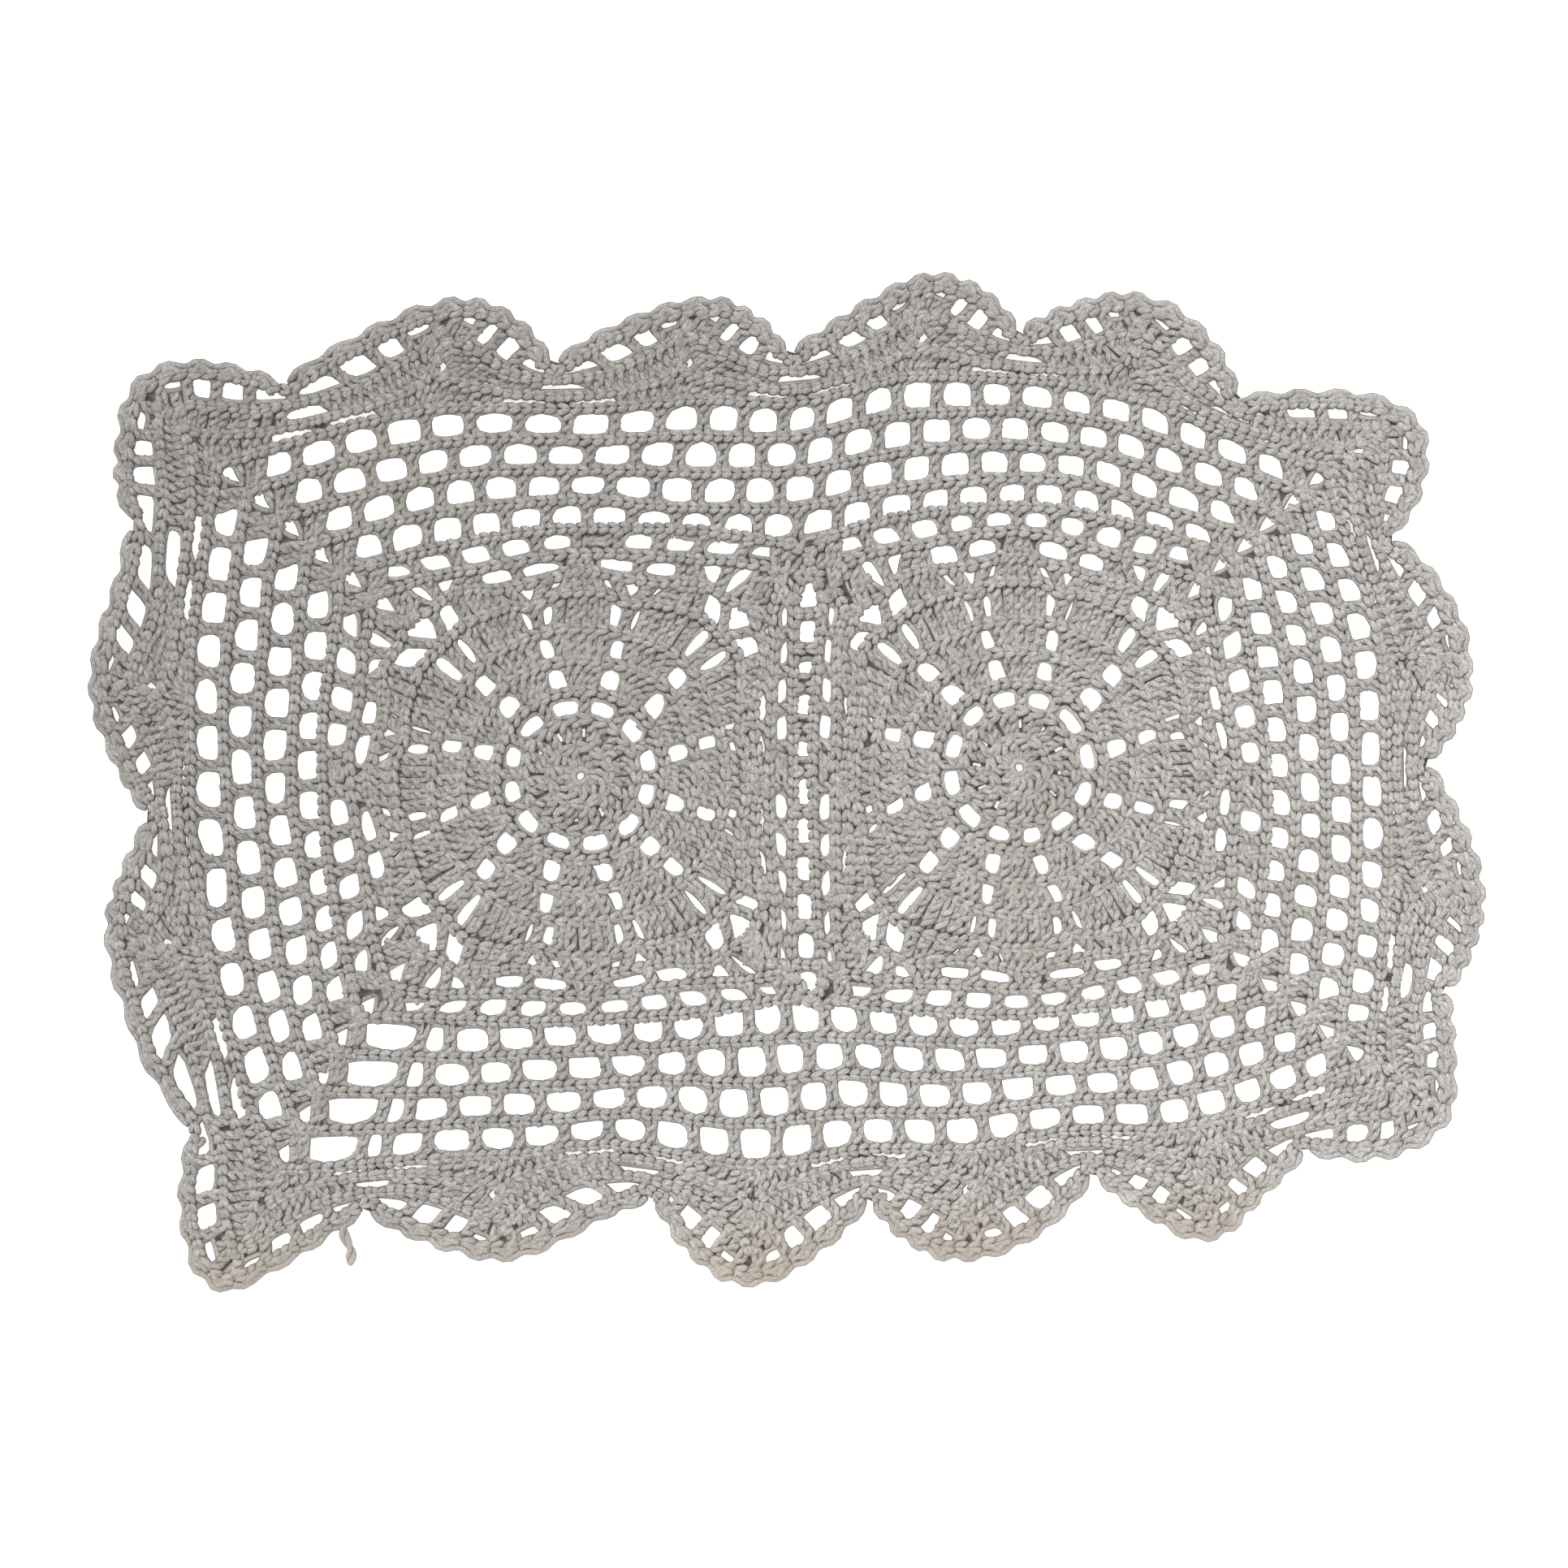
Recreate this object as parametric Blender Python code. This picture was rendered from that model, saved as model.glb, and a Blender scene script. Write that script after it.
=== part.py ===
"""Crochet mat: two round leaf motifs squared off and joined side by side, four rounds of
open mesh round the pair, and an edging of sixteen fans. It lies flat as one piece of cloth.

The cloth is one flat solid. Its outline follows the fans and their scalloped rim, and the
widest gaps of the crochet are cut through it. +X runs along the long side, +Y towards the
upper long side and +Z up. The origin is under the middle of the mat, on the table.
"""

import math
from collections import namedtuple

import bpy
from mathutils import Vector

# Sizes in millimetres
MM = 0.001
THICKNESS = 2.4
POST_WIDTH = 2.4
CHAIN_WIDTH = 2.25
TAIL_WIDTH = 2.1
TAIL_CLEARANCE = 0.8

# The edging
BUMPS_IN_FAN = 9
BUMP_HEIGHT = 1.0
TIP_ROUNDING = 0.22

# Rounds of the mesh border: the first is worked on the last round of the motifs
FIRST_MESH_ROUND = 1
LAST_MESH_ROUND = 4

# Each side of a motif ends with ten small gaps, so it has eleven steps
STEPS_ON_SIDE = 11
LAST_ROUND_HALF_WIDTH = 2.4
INNER_LINE_DROP = 2.4
CORNER_LINE_DROP = 3.8

# The zigzag between the motifs: the shares of its width where its gaps start and end, how far
# they run past the sides, and the yarn that narrows them along and across
JOIN_GAP_START = 0.24
JOIN_GAP_END = 0.76
JOIN_OVERRUN = 0.2
JOIN_ALONG = 1.0
JOIN_ACROSS = 1.9

# How far into the outer half of a mesh round its corner gap reaches
CORNER_GAP_SHIFT = 0.1

# A motif is round up to this radius, and is drawn out to its square beyond it
ROUND_RADIUS = 31.0
SQUARE_RADIUS = 48.7

# The widest gaps are cut, up to this number, and the main ones of each leaf before the others
MOST_GAPS = 300
LEAST_SPAN = 4.0
MAIN_GAPS = ("loop", "tall")

# Outline of one gap in its cell, from -1 to 1 across and along: a rounded rectangle
LARGE_GAP = ((-1, -0.5), (-0.6, -1), (0.6, -1), (1, -0.5), (1, 0.5), (0.6, 1), (-0.6, 1), (-1, 0.5))
SMALL_GAP = ((-1, -0.4), (-0.2, -1), (0.8, -0.8), (1, 0.4), (0.2, 1), (-0.8, 0.8))
LARGE_GAP_AREA = 28.0
LEAST_SLANT = 0.5

Side = namedtuple("Side", "motif side start_x start_y middle_x middle_y end_x end_y")
Fan = namedtuple(
    "Fan",
    "name inner_x inner_y base_x base_y tip_x tip_y valley_x valley_y swell_before swell_after dip",
)
Border = namedtuple("Border", "side first_cells fans shares")
Gap = namedtuple("Gap", "name inner_radius outer_radius half_angle turn along across")

MOTIF_CENTRE = {"left": (-44.7, 1.7), "right": (50.6, 2.6)}

# The middle line of the last round on each side of the motifs, counter-clockwise from +X
SIDES = (
    Side("left", "join", -0.4, -45.6, -0.6, -0.9, -0.1, 43.4),
    Side("left", "top", 5.8, 48.6, -44.7, 52.4, -92.4, 43.5),
    Side("left", "outer", -92.4, 43.5, -96.7, -2.3, -89.2, -47.4),
    Side("left", "bottom", -89.2, -47.4, -40.8, -48.4, 6.5, -43.2),
    Side("right", "outer", 97.8, -37.4, 100.9, 3.0, 93.2, 46.7),
    Side("right", "top", 93.2, 46.7, 49.9, 57.1, 4.6, 48.9),
    Side("right", "join", 10.9, 43.7, 8.3, -0.9, 10.5, -46.5),
    Side("right", "bottom", 6.5, -43.2, 54.1, -46.8, 97.8, -37.4),
)

# Clockwise from the upper left corner. inner is the first mesh round below the fan, base is the
# mesh gap that the fan is worked in, tip is its outermost point, and valley is the notch after
# it. swell is how far the rim bulges from a straight line, and dip is how far the edge of the
# mesh sinks between this fan and the next.
FANS = (
    Fan("top_left", -99.2, 48.8, -118.5, 66.0, -140.5, 87.5, -108.2, 86.2, 3.8, 2.8, 0.0),
    Fan("top_1", -61.0, 56.0, -72.5, 77.0, -71.4, 105.0, -49.9, 90.9, 1.5, 3.6, 1.4),
    Fan("top_2", -20.1, 55.5, -22.0, 78.4, -18.2, 104.8, 1.0, 92.8, 1.8, 3.0, 2.8),
    Fan("top_3", 25.3, 59.6, 28.5, 83.5, 29.3, 110.0, 50.2, 97.5, 0.6, 3.6, 0.0),
    Fan("top_4", 61.5, 61.2, 71.2, 80.3, 75.5, 106.2, 97.6, 83.2, 1.6, 4.3, 0.5),
    Fan("top_right", 98.1, 50.7, 113.4, 64.8, 136.0, 81.0, 130.5, 53.1, 2.2, 4.5, 0.0),
    Fan("right_1", 104.3, 19.8, 124.7, 25.7, 148.0, 24.5, 138.2, 4.4, 3.8, 2.1, 0.6),
    Fan("right_2", 105.5, -11.9, 126.0, -19.6, 150.6, -24.0, 142.5, -44.7, 1.8, 1.6, 0.0),
    Fan("bottom_right", 103.7, -43.0, 122.1, -57.5, 143.5, -73.0, 112.0, -79.2, 0.8, 4.4, 0.0),
    Fan("bottom_4", 69.6, -48.9, 83.8, -70.2, 92.2, -99.6, 66.4, -84.1, 0.2, 3.0, 2.2),
    Fan("bottom_3", 31.0, -51.8, 38.1, -74.6, 38.9, -103.0, 18.5, -89.7, 3.8, 3.2, 1.9),
    Fan("bottom_2", -6.4, -50.7, -6.4, -77.5, -8.1, -109.2, -28.5, -89.3, 2.4, 2.9, 2.8),
    Fan("bottom_1", -53.7, -54.3, -61.6, -76.1, -59.5, -103.2, -89.9, -92.3, 0.7, 1.6, 0.0),
    Fan("bottom_left", -94.5, -54.0, -106.6, -79.0, -123.0, -111.6, -127.4, -74.9, 0.0, 4.4, 0.0),
    Fan("left_2", -99.4, -21.6, -120.6, -32.8, -146.8, -32.6, -135.5, -9.9, 1.6, 2.8, 0.8),
    Fan("left_1", -101.6, 13.1, -124.1, 19.1, -150.3, 20.0, -139.6, 53.6, 2.4, 0.0, 0.0),
)

# The four sides of the border: how many cells its motif round has, the fans from corner to
# corner, and the share of the side at which each of them lies
BORDER = (
    Border("top", 21, (0, 1, 2, 3, 4, 5), (0, 5 / 26, 10 / 26, 16 / 26, 21 / 26, 1)),
    Border("right", 10, (5, 6, 7, 8), (0, 5 / 15, 10 / 15, 1)),
    Border("bottom", 21, (8, 9, 10, 11, 12, 13), (0, 5 / 26, 10 / 26, 15 / 26, 21 / 26, 1)),
    Border("left", 10, (13, 14, 15, 0), (0, 5 / 15, 10 / 15, 1)),
)

# Gaps of a motif between two leaves: radii, half width and turn in degrees from the middle
# between the leaves, and the yarn that narrows the gap along and across
GAPS_IN_EACH = (
    Gap("loop", 12.9, 18.3, 15.0, 0.0, 2.0, 1.9),
    Gap("dome", 18.4, 25.0, 8.0, 0.0, 1.9, 1.9),
    Gap("arch", 25.2, 31.8, 5.3, 0.0, 1.8, 1.9),
)
GAPS_ON_SIDE = (
    Gap("drop", 38.6, 43.8, 3.6, 0.0, 2.0, 1.5),
    Gap("upper", 43.0, 48.7, 3.9, -5.2, 2.0, 1.6),
    Gap("upper", 43.0, 48.7, 3.9, 5.2, 2.0, 1.6),
)
GAPS_AT_CORNER = (
    Gap("tall", 38.5, 45.2, 4.0, -5.8, 2.2, 1.9),
    Gap("tall", 38.5, 45.2, 4.0, 5.8, 2.2, 1.9),
)

# The loose yarn end at the lower left, from the cloth to its tip
TAIL = ((-94.4, -93.5), (-94.5, -97.0), (-92.9, -100.4), (-93.2, -103.2))


def clear_scene():
    for obj in list(bpy.data.objects):
        bpy.data.objects.remove(obj, do_unlink=True)


def new_collection(name):
    made = bpy.data.collections.new(name)
    bpy.context.scene.collection.children.link(made)
    return made


def cotton_material():
    """Matt off-white cotton yarn that reads as a warm grey."""
    made = bpy.data.materials.new("cotton_yarn")
    made.use_nodes = True
    shader = made.node_tree.nodes["Principled BSDF"]
    shader.inputs["Base Color"].default_value = (0.40, 0.375, 0.345, 1.0)
    shader.inputs["Roughness"].default_value = 0.9
    shader.inputs["Metallic"].default_value = 0.0
    made.diffuse_color = (0.40, 0.375, 0.345, 1.0)
    return made


def through(points, knots, share):
    """The point at this share of a smooth curve that passes each point at its own knot."""
    first = 0
    while first < len(points) - 2 and share > knots[first + 1]:
        first += 1
    length = knots[first + 1] - knots[first]
    t = (share - knots[first]) / length
    slopes = []
    for index in (first, first + 1):
        before = max(index - 1, 0)
        after = min(index + 1, len(points) - 1)
        slopes.append((points[after] - points[before]) / (knots[after] - knots[before]))
    start = points[first] * (2 * t**3 - 3 * t**2 + 1) + slopes[0] * length * (t**3 - 2 * t**2 + t)
    end = points[first + 1] * (3 * t**2 - 2 * t**3) + slopes[1] * length * (t**3 - t**2)
    return start + end


def side_point(side, share):
    """A point on the last round of a motif, from the start of this side to its end."""
    start = Vector((side.start_x, side.start_y))
    middle = Vector((side.middle_x, side.middle_y))
    end = Vector((side.end_x, side.end_y))
    bow = 4 * share * (1 - share)
    return start * (1 - share) * (1 - 2 * share) + middle * bow + end * share * (2 * share - 1)


def centre_of(motif):
    return Vector(MOTIF_CENTRE[motif])


def reach_of(motif):
    """Every 15 degrees, how far the last round lies from the centre and how far it is turned."""
    sides = [side for side in SIDES if side.motif == motif]
    reach = []
    for quarter, side in enumerate(sides):
        for turn in (-30, -15, 0, 15, 30, 45):
            step = STEPS_ON_SIDE / 2 + turn / 10
            point = side_point(side, step / STEPS_ON_SIDE)
            drop = INNER_LINE_DROP
            if turn == 45:
                corner = side_point(side, 1.0) + side_point(sides[(quarter + 1) % 4], 0.0)
                point = corner / 2
                drop = CORNER_LINE_DROP
            arm = point - centre_of(motif)
            angle = 90 * quarter + turn
            turned = (math.degrees(math.atan2(arm.y, arm.x)) - angle + 180) % 360 - 180
            reach.append(Vector((arm.length - drop, turned)))
    return reach


def motif_point(motif, reach, radius, angle):
    """The point of a motif at this radius and angle of its chart, once it is squared off."""
    place = (angle + 30) % 360 / 15
    before = int(place) % 24
    t = place - int(place)
    a, b, c, d = (reach[(before + step) % 24] for step in (-1, 0, 1, 2))
    rise = (c - a) * t + (a * 2 - b * 5 + c * 4 - d) * t**2 + (b * 3 - a - c * 3 + d) * t**3
    edge = b + rise / 2
    beyond = max(0.0, (radius - ROUND_RADIUS) / (SQUARE_RADIUS - ROUND_RADIUS))
    arm = radius + (edge.x - SQUARE_RADIUS) * beyond**2
    turned = math.radians(angle + edge.y * min(1.0, (radius / SQUARE_RADIUS) ** 2))
    return centre_of(motif) + arm * Vector((math.cos(turned), math.sin(turned)))


def border_point(border, share, mesh_round):
    """A point of the mesh at this share of a side. Whole rounds run through the gaps."""
    fans = [FANS[index] for index in border.fans]
    inner = through([Vector((fan.inner_x, fan.inner_y)) for fan in fans], border.shares, share)
    outer = through([Vector((fan.base_x, fan.base_y)) for fan in fans], border.shares, share)
    first = 0
    while first < len(fans) - 2 and share > border.shares[first + 1]:
        first += 1
    step = border.shares[first + 1] - border.shares[first]
    sink = fans[first].dip * math.sin(math.pi * (share - border.shares[first]) / step) ** 2
    outer += (inner - outer).normalized() * sink
    return inner.lerp(outer, (mesh_round - FIRST_MESH_ROUND) / (LAST_MESH_ROUND - FIRST_MESH_ROUND))


def mesh_cells():
    """The gaps of the open mesh: each round has one more on every side than the one inside it."""
    cells = []
    for border in BORDER:
        for mesh_round in range(FIRST_MESH_ROUND, LAST_MESH_ROUND + 1):
            steps = border.first_cells + mesh_round + 1
            for cell in range(1, steps):
                left = (cell - 0.5) / steps
                right = (cell + 0.5) / steps
                corners = [
                    border_point(border, left, mesh_round - 0.5),
                    border_point(border, right, mesh_round - 0.5),
                    border_point(border, right, mesh_round + 0.5),
                    border_point(border, left, mesh_round + 0.5),
                ]
                cells.append((corners, POST_WIDTH, CHAIN_WIDTH))
    return cells


def corner_cells():
    """The gap in the middle of the increase at each corner of the mesh."""
    cells = []
    for index, border in enumerate(BORDER):
        before = BORDER[index - 1]
        for mesh_round in range(FIRST_MESH_ROUND, LAST_MESH_ROUND + 1):
            last = 1 - 0.5 / (before.first_cells + mesh_round + 1)
            first = 0.5 / (border.first_cells + mesh_round + 1)
            corners = [
                border_point(border, 0.0, mesh_round - 0.5),
                border_point(border, first, mesh_round + CORNER_GAP_SHIFT),
                border_point(border, 0.0, mesh_round + 0.5),
                border_point(before, last, mesh_round + CORNER_GAP_SHIFT),
            ]
            cells.append((corners, POST_WIDTH, CHAIN_WIDTH))
    return cells


def join_cells():
    """The gaps of the zigzag that joins the two motifs."""
    left = next(side for side in SIDES if side.motif == "left" and side.side == "join")
    right = next(side for side in SIDES if side.motif == "right" and side.side == "join")
    cells = []
    for step in range(STEPS_ON_SIDE + 1):
        low = max(step - 0.5, -JOIN_OVERRUN) / STEPS_ON_SIDE
        high = min(step + 0.5, STEPS_ON_SIDE + JOIN_OVERRUN) / STEPS_ON_SIDE
        below = (side_point(left, 1 - high), side_point(right, high))
        above = (side_point(left, 1 - low), side_point(right, low))
        corners = [
            below[0].lerp(below[1], JOIN_GAP_START),
            below[0].lerp(below[1], JOIN_GAP_END),
            above[0].lerp(above[1], JOIN_GAP_END),
            above[0].lerp(above[1], JOIN_GAP_START),
        ]
        cells.append((corners, JOIN_ALONG, JOIN_ACROSS))
    return cells


def last_round_cells():
    """The small flat gaps of the last round of each motif."""
    cells = []
    for side in SIDES:
        centre = centre_of(side.motif)
        for step in range(1, STEPS_ON_SIDE):
            corners = []
            for shift, away in ((-0.5, -1), (0.5, -1), (0.5, 1), (-0.5, 1)):
                point = side_point(side, (step + shift) / STEPS_ON_SIDE)
                outward = (point - centre).normalized()
                corners.append(point + outward * away * LAST_ROUND_HALF_WIDTH)
            cells.append((corners, POST_WIDTH, CHAIN_WIDTH))
    return cells


def motif_cells(motif):
    """The gaps between the twelve leaves of a motif, each with its name."""
    reach = reach_of(motif)
    cells = []
    for leaf in range(12):
        middle = 15 + 30 * leaf
        at_corner = leaf % 3 == 1
        for gap in GAPS_IN_EACH + (GAPS_AT_CORNER if at_corner else GAPS_ON_SIDE):
            low = middle + gap.turn - gap.half_angle
            high = middle + gap.turn + gap.half_angle
            corners = [
                motif_point(motif, reach, gap.inner_radius, low),
                motif_point(motif, reach, gap.inner_radius, high),
                motif_point(motif, reach, gap.outer_radius, high),
                motif_point(motif, reach, gap.outer_radius, low),
            ]
            cells.append((gap.name, (corners, gap.along, gap.across)))
    return cells


def opening_in(cell):
    """The clear outline that the yarn leaves in a cell, with its area and its longer span."""
    corners, along, across = cell
    width = ((corners[1] - corners[0]).length + (corners[2] - corners[3]).length) / 2
    height = ((corners[3] - corners[0]).length + (corners[2] - corners[1]).length) / 2
    first = corners[2] - corners[0]
    second = corners[3] - corners[1]
    slant = abs(first.x * second.y - first.y * second.x) / (2 * width * height)
    across_share = 1 - along / (width * max(slant, LEAST_SLANT))
    up_share = 1 - across / (height * max(slant, LEAST_SLANT))
    area = width * across_share * height * up_share * slant
    span = max(width * across_share, height * up_share)
    shape = LARGE_GAP if area > LARGE_GAP_AREA else SMALL_GAP
    outline = []
    for across_place, up_place in shape:
        low = corners[0].lerp(corners[1], (1 + across_place * across_share) / 2)
        high = corners[3].lerp(corners[2], (1 + across_place * across_share) / 2)
        outline.append(low.lerp(high, (1 + up_place * up_share) / 2))
    return outline, area, span


def widest_first(cells):
    """The openings of these cells that are over 4 mm long, the largest first."""
    openings = [opening_in(cell) for cell in cells]
    openings = [opening for opening in openings if opening[2] > LEAST_SPAN]
    openings.sort(key=lambda opening: -opening[1])
    return [outline for outline, area, span in openings]


def widest_openings():
    """The outlines of the gaps that are cut: the main ones of each leaf, then the widest of all."""
    main = []
    other = mesh_cells() + corner_cells() + join_cells() + last_round_cells()
    for motif in MOTIF_CENTRE:
        for name, cell in motif_cells(motif):
            if name in MAIN_GAPS:
                main.append(cell)
            else:
                other.append(cell)
    return (widest_first(main) + widest_first(other))[:MOST_GAPS]


def flank_point(fan, valley, swell, share):
    """A point of the rim between the tip of a fan, at 0, and the notch beside it, at 1."""
    tip = Vector((fan.tip_x, fan.tip_y))
    chord = valley - tip
    outward = Vector((-chord.y, chord.x)).normalized()
    base = Vector((fan.base_x, fan.base_y))
    if outward.dot(tip.lerp(valley, 0.5) - base) < 0:
        outward = -outward
    return tip.lerp(valley, share) + outward * swell * 4 * share * (1 - share)


def rim_point(index, place):
    """A point of the smooth rim of a fan, from -1 at the notch before it to 1 at the next."""
    fan = FANS[index]
    before = Vector((FANS[index - 1].valley_x, FANS[index - 1].valley_y))
    after = Vector((fan.valley_x, fan.valley_y))
    if abs(place) >= TIP_ROUNDING:
        if place < 0:
            return flank_point(fan, before, fan.swell_before, -place)
        return flank_point(fan, after, fan.swell_after, place)
    start = flank_point(fan, before, fan.swell_before, TIP_ROUNDING)
    end = flank_point(fan, after, fan.swell_after, TIP_ROUNDING)
    tip = Vector((fan.tip_x, fan.tip_y))
    t = (place / TIP_ROUNDING + 1) / 2
    return start * (1 - t) ** 2 + tip * 2 * t * (1 - t) + end * t**2


def fan_outline(index):
    """The scalloped rim of one fan: three points for each of its small bumps."""
    fan = FANS[index]
    base = Vector((fan.base_x, fan.base_y))
    points = []
    for step in range(3 * BUMPS_IN_FAN):
        place = 2 * step / (3 * BUMPS_IN_FAN) - 1
        point = rim_point(index, place)
        height = -BUMP_HEIGHT if step % 3 == 0 else 0.0
        points.append(point + (point - base).normalized() * height)
    return points


def tail_outline():
    """The loose yarn end, as a narrow tongue, down its right side and back up its left."""
    line = [Vector(point) for point in TAIL]
    right = []
    left = []
    for index, point in enumerate(line):
        ahead = line[min(index + 1, len(line) - 1)]
        behind = line[max(index - 1, 0)]
        along = (ahead - behind).normalized()
        across = Vector((-along.y, along.x)) * TAIL_WIDTH / 2
        right.append(point + across)
        left.append(point - across)
    end = line[-1] + (line[-1] - line[-2]).normalized() * TAIL_WIDTH / 3
    return right + [end] + left[::-1]


def mat_outline():
    """The whole edge, clockwise, with the yarn end where it leaves the lower left corner fan."""
    points = []
    for index, fan in enumerate(FANS):
        rim = fan_outline(index)
        if fan.name == "bottom_left":
            tail = tail_outline()
            kept = [point for point in rim[1:] if point.x < tail[-1].x - TAIL_CLEARANCE]
            rim = rim[:1] + tail + kept
        points += rim
    return points


def middle_of(points):
    """The middle of the box round these points."""
    across = [point.x for point in points]
    up = [point.y for point in points]
    return Vector(((min(across) + max(across)) / 2, (min(up) + max(up)) / 2))


def add_loop(curve, points):
    """Adds a closed loop of straight lines to a flat curve."""
    spline = curve.splines.new("POLY")
    spline.points.add(len(points) - 1)
    for target, point in zip(spline.points, points):
        target.co = (point.x * MM, point.y * MM, 0.0, 1.0)
    spline.use_cyclic_u = True


def crochet_mat(collection):
    """The cloth as one flat solid, resting on z = 0."""
    outline = mat_outline()
    middle = middle_of(outline)
    curve = bpy.data.curves.new("crochet_mat", "CURVE")
    curve.dimensions = "2D"
    curve.fill_mode = "BOTH"
    curve.extrude = THICKNESS / 2 * MM
    add_loop(curve, [point - middle for point in outline])
    for opening in widest_openings():
        add_loop(curve, [point - middle for point in opening])
    made = bpy.data.objects.new("crochet_mat", curve)
    made.location = (0.0, 0.0, THICKNESS / 2 * MM)
    curve.materials.append(cotton_material())
    collection.objects.link(made)
    return made


def main():
    clear_scene()
    crochet_mat(new_collection("crochet_mat"))


main()
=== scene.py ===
"""Crochet mat seen from straight above: every stitch as worked cotton yarn on a thin ground.

The chart is worked in millimetres with points of the plane as complex numbers, x + iy. Each
round is a list of stitches. A stitch has a head, and a foot if it is a post rather than a
chain. The heads of a round carry one braid, and each post is two legs of yarn side by side
with more of it thrown over them on the slant. The ground is the one sheet that the stitches
lie on, with every gap cut. Its dark colour is painted shade, for the yarn deep between them.
"""

import cmath
import math

import bmesh
import bpy
import numpy as np
from collections import namedtuple
from functools import partial
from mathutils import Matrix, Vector
from mathutils.geometry import delaunay_2d_cdt
from mathutils.kdtree import KDTree


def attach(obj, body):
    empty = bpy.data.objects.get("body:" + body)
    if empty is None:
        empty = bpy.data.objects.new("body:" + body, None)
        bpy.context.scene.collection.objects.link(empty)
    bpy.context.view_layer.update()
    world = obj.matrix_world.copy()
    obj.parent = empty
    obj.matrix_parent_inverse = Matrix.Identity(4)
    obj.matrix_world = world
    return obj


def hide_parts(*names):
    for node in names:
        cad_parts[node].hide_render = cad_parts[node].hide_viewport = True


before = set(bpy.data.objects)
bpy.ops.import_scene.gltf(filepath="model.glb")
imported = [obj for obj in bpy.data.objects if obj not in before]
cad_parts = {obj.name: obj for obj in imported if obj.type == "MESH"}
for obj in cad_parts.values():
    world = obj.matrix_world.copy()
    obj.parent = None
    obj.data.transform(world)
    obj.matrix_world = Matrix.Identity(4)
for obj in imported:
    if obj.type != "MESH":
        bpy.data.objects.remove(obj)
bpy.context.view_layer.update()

MM = 0.001
rng = np.random.default_rng(7)

# The chart, as the solid has it. The tip of a fan is rounded over this part of its flanks.
BUMPS_IN_FAN = 9
TIP_ROUNDING = 0.22
FIRST_MESH_ROUND = 1
LAST_MESH_ROUND = 4
STEPS_ON_SIDE = 11
# The last round of a motif: half its width, and how far inside its middle line the eighth
# round's heads lie on each side, how far they sag there, and how far inside they lie at a corner
LAST_ROUND_HALF_WIDTH = 2.4
INNER_LINE_DROP = {"top": 3.0, "bottom": 2.8, "join": 2.7, "outer": 3.9}
INNER_LINE_DIP = 1.3
CORNER_LINE_DROP = 4.2
# How many steps from the middle of a side each leaf axis meets it, by the turn of the axis. A
# motif is round up to one radius and square at the other.
LEAF_STEPS = {-30: -2.85, -15: -1.7, 0: 0.0, 15: 1.7, 30: 2.85}
ROUND_RADIUS = 31.0
SQUARE_RADIUS = 48.7
# The middle of the part on the chart
MIDDLE = 0.3897 + 0.3139j

Side = namedtuple("Side", "motif side start middle end")
Fan = namedtuple("Fan", "inner base tip valley swell_before swell_after dip")
Border = namedtuple("Border", "side first_cells fans shares")

MOTIF_CENTRE = {"left": -43.9 + 1.7j, "right": 50.3 + 3.5j}

SIDES = (
    Side("left", "join", -0.4 - 45.6j, -0.6 - 0.9j, -0.1 + 43.4j),
    Side("left", "top", 5.8 + 48.6j, -44.7 + 52.4j, -92.4 + 43.5j),
    Side("left", "outer", -92.4 + 43.5j, -96.7 - 2.3j, -89.2 - 47.4j),
    Side("left", "bottom", -89.2 - 47.4j, -40.8 - 48.4j, 6.5 - 43.2j),
    Side("right", "outer", 97.8 - 37.4j, 100.9 + 3.0j, 93.2 + 46.7j),
    Side("right", "top", 93.2 + 46.7j, 49.9 + 57.1j, 4.6 + 48.9j),
    Side("right", "join", 10.9 + 43.7j, 8.3 - 0.9j, 10.5 - 46.5j),
    Side("right", "bottom", 6.5 - 43.2j, 54.1 - 46.8j, 97.8 - 37.4j),
)

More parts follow.
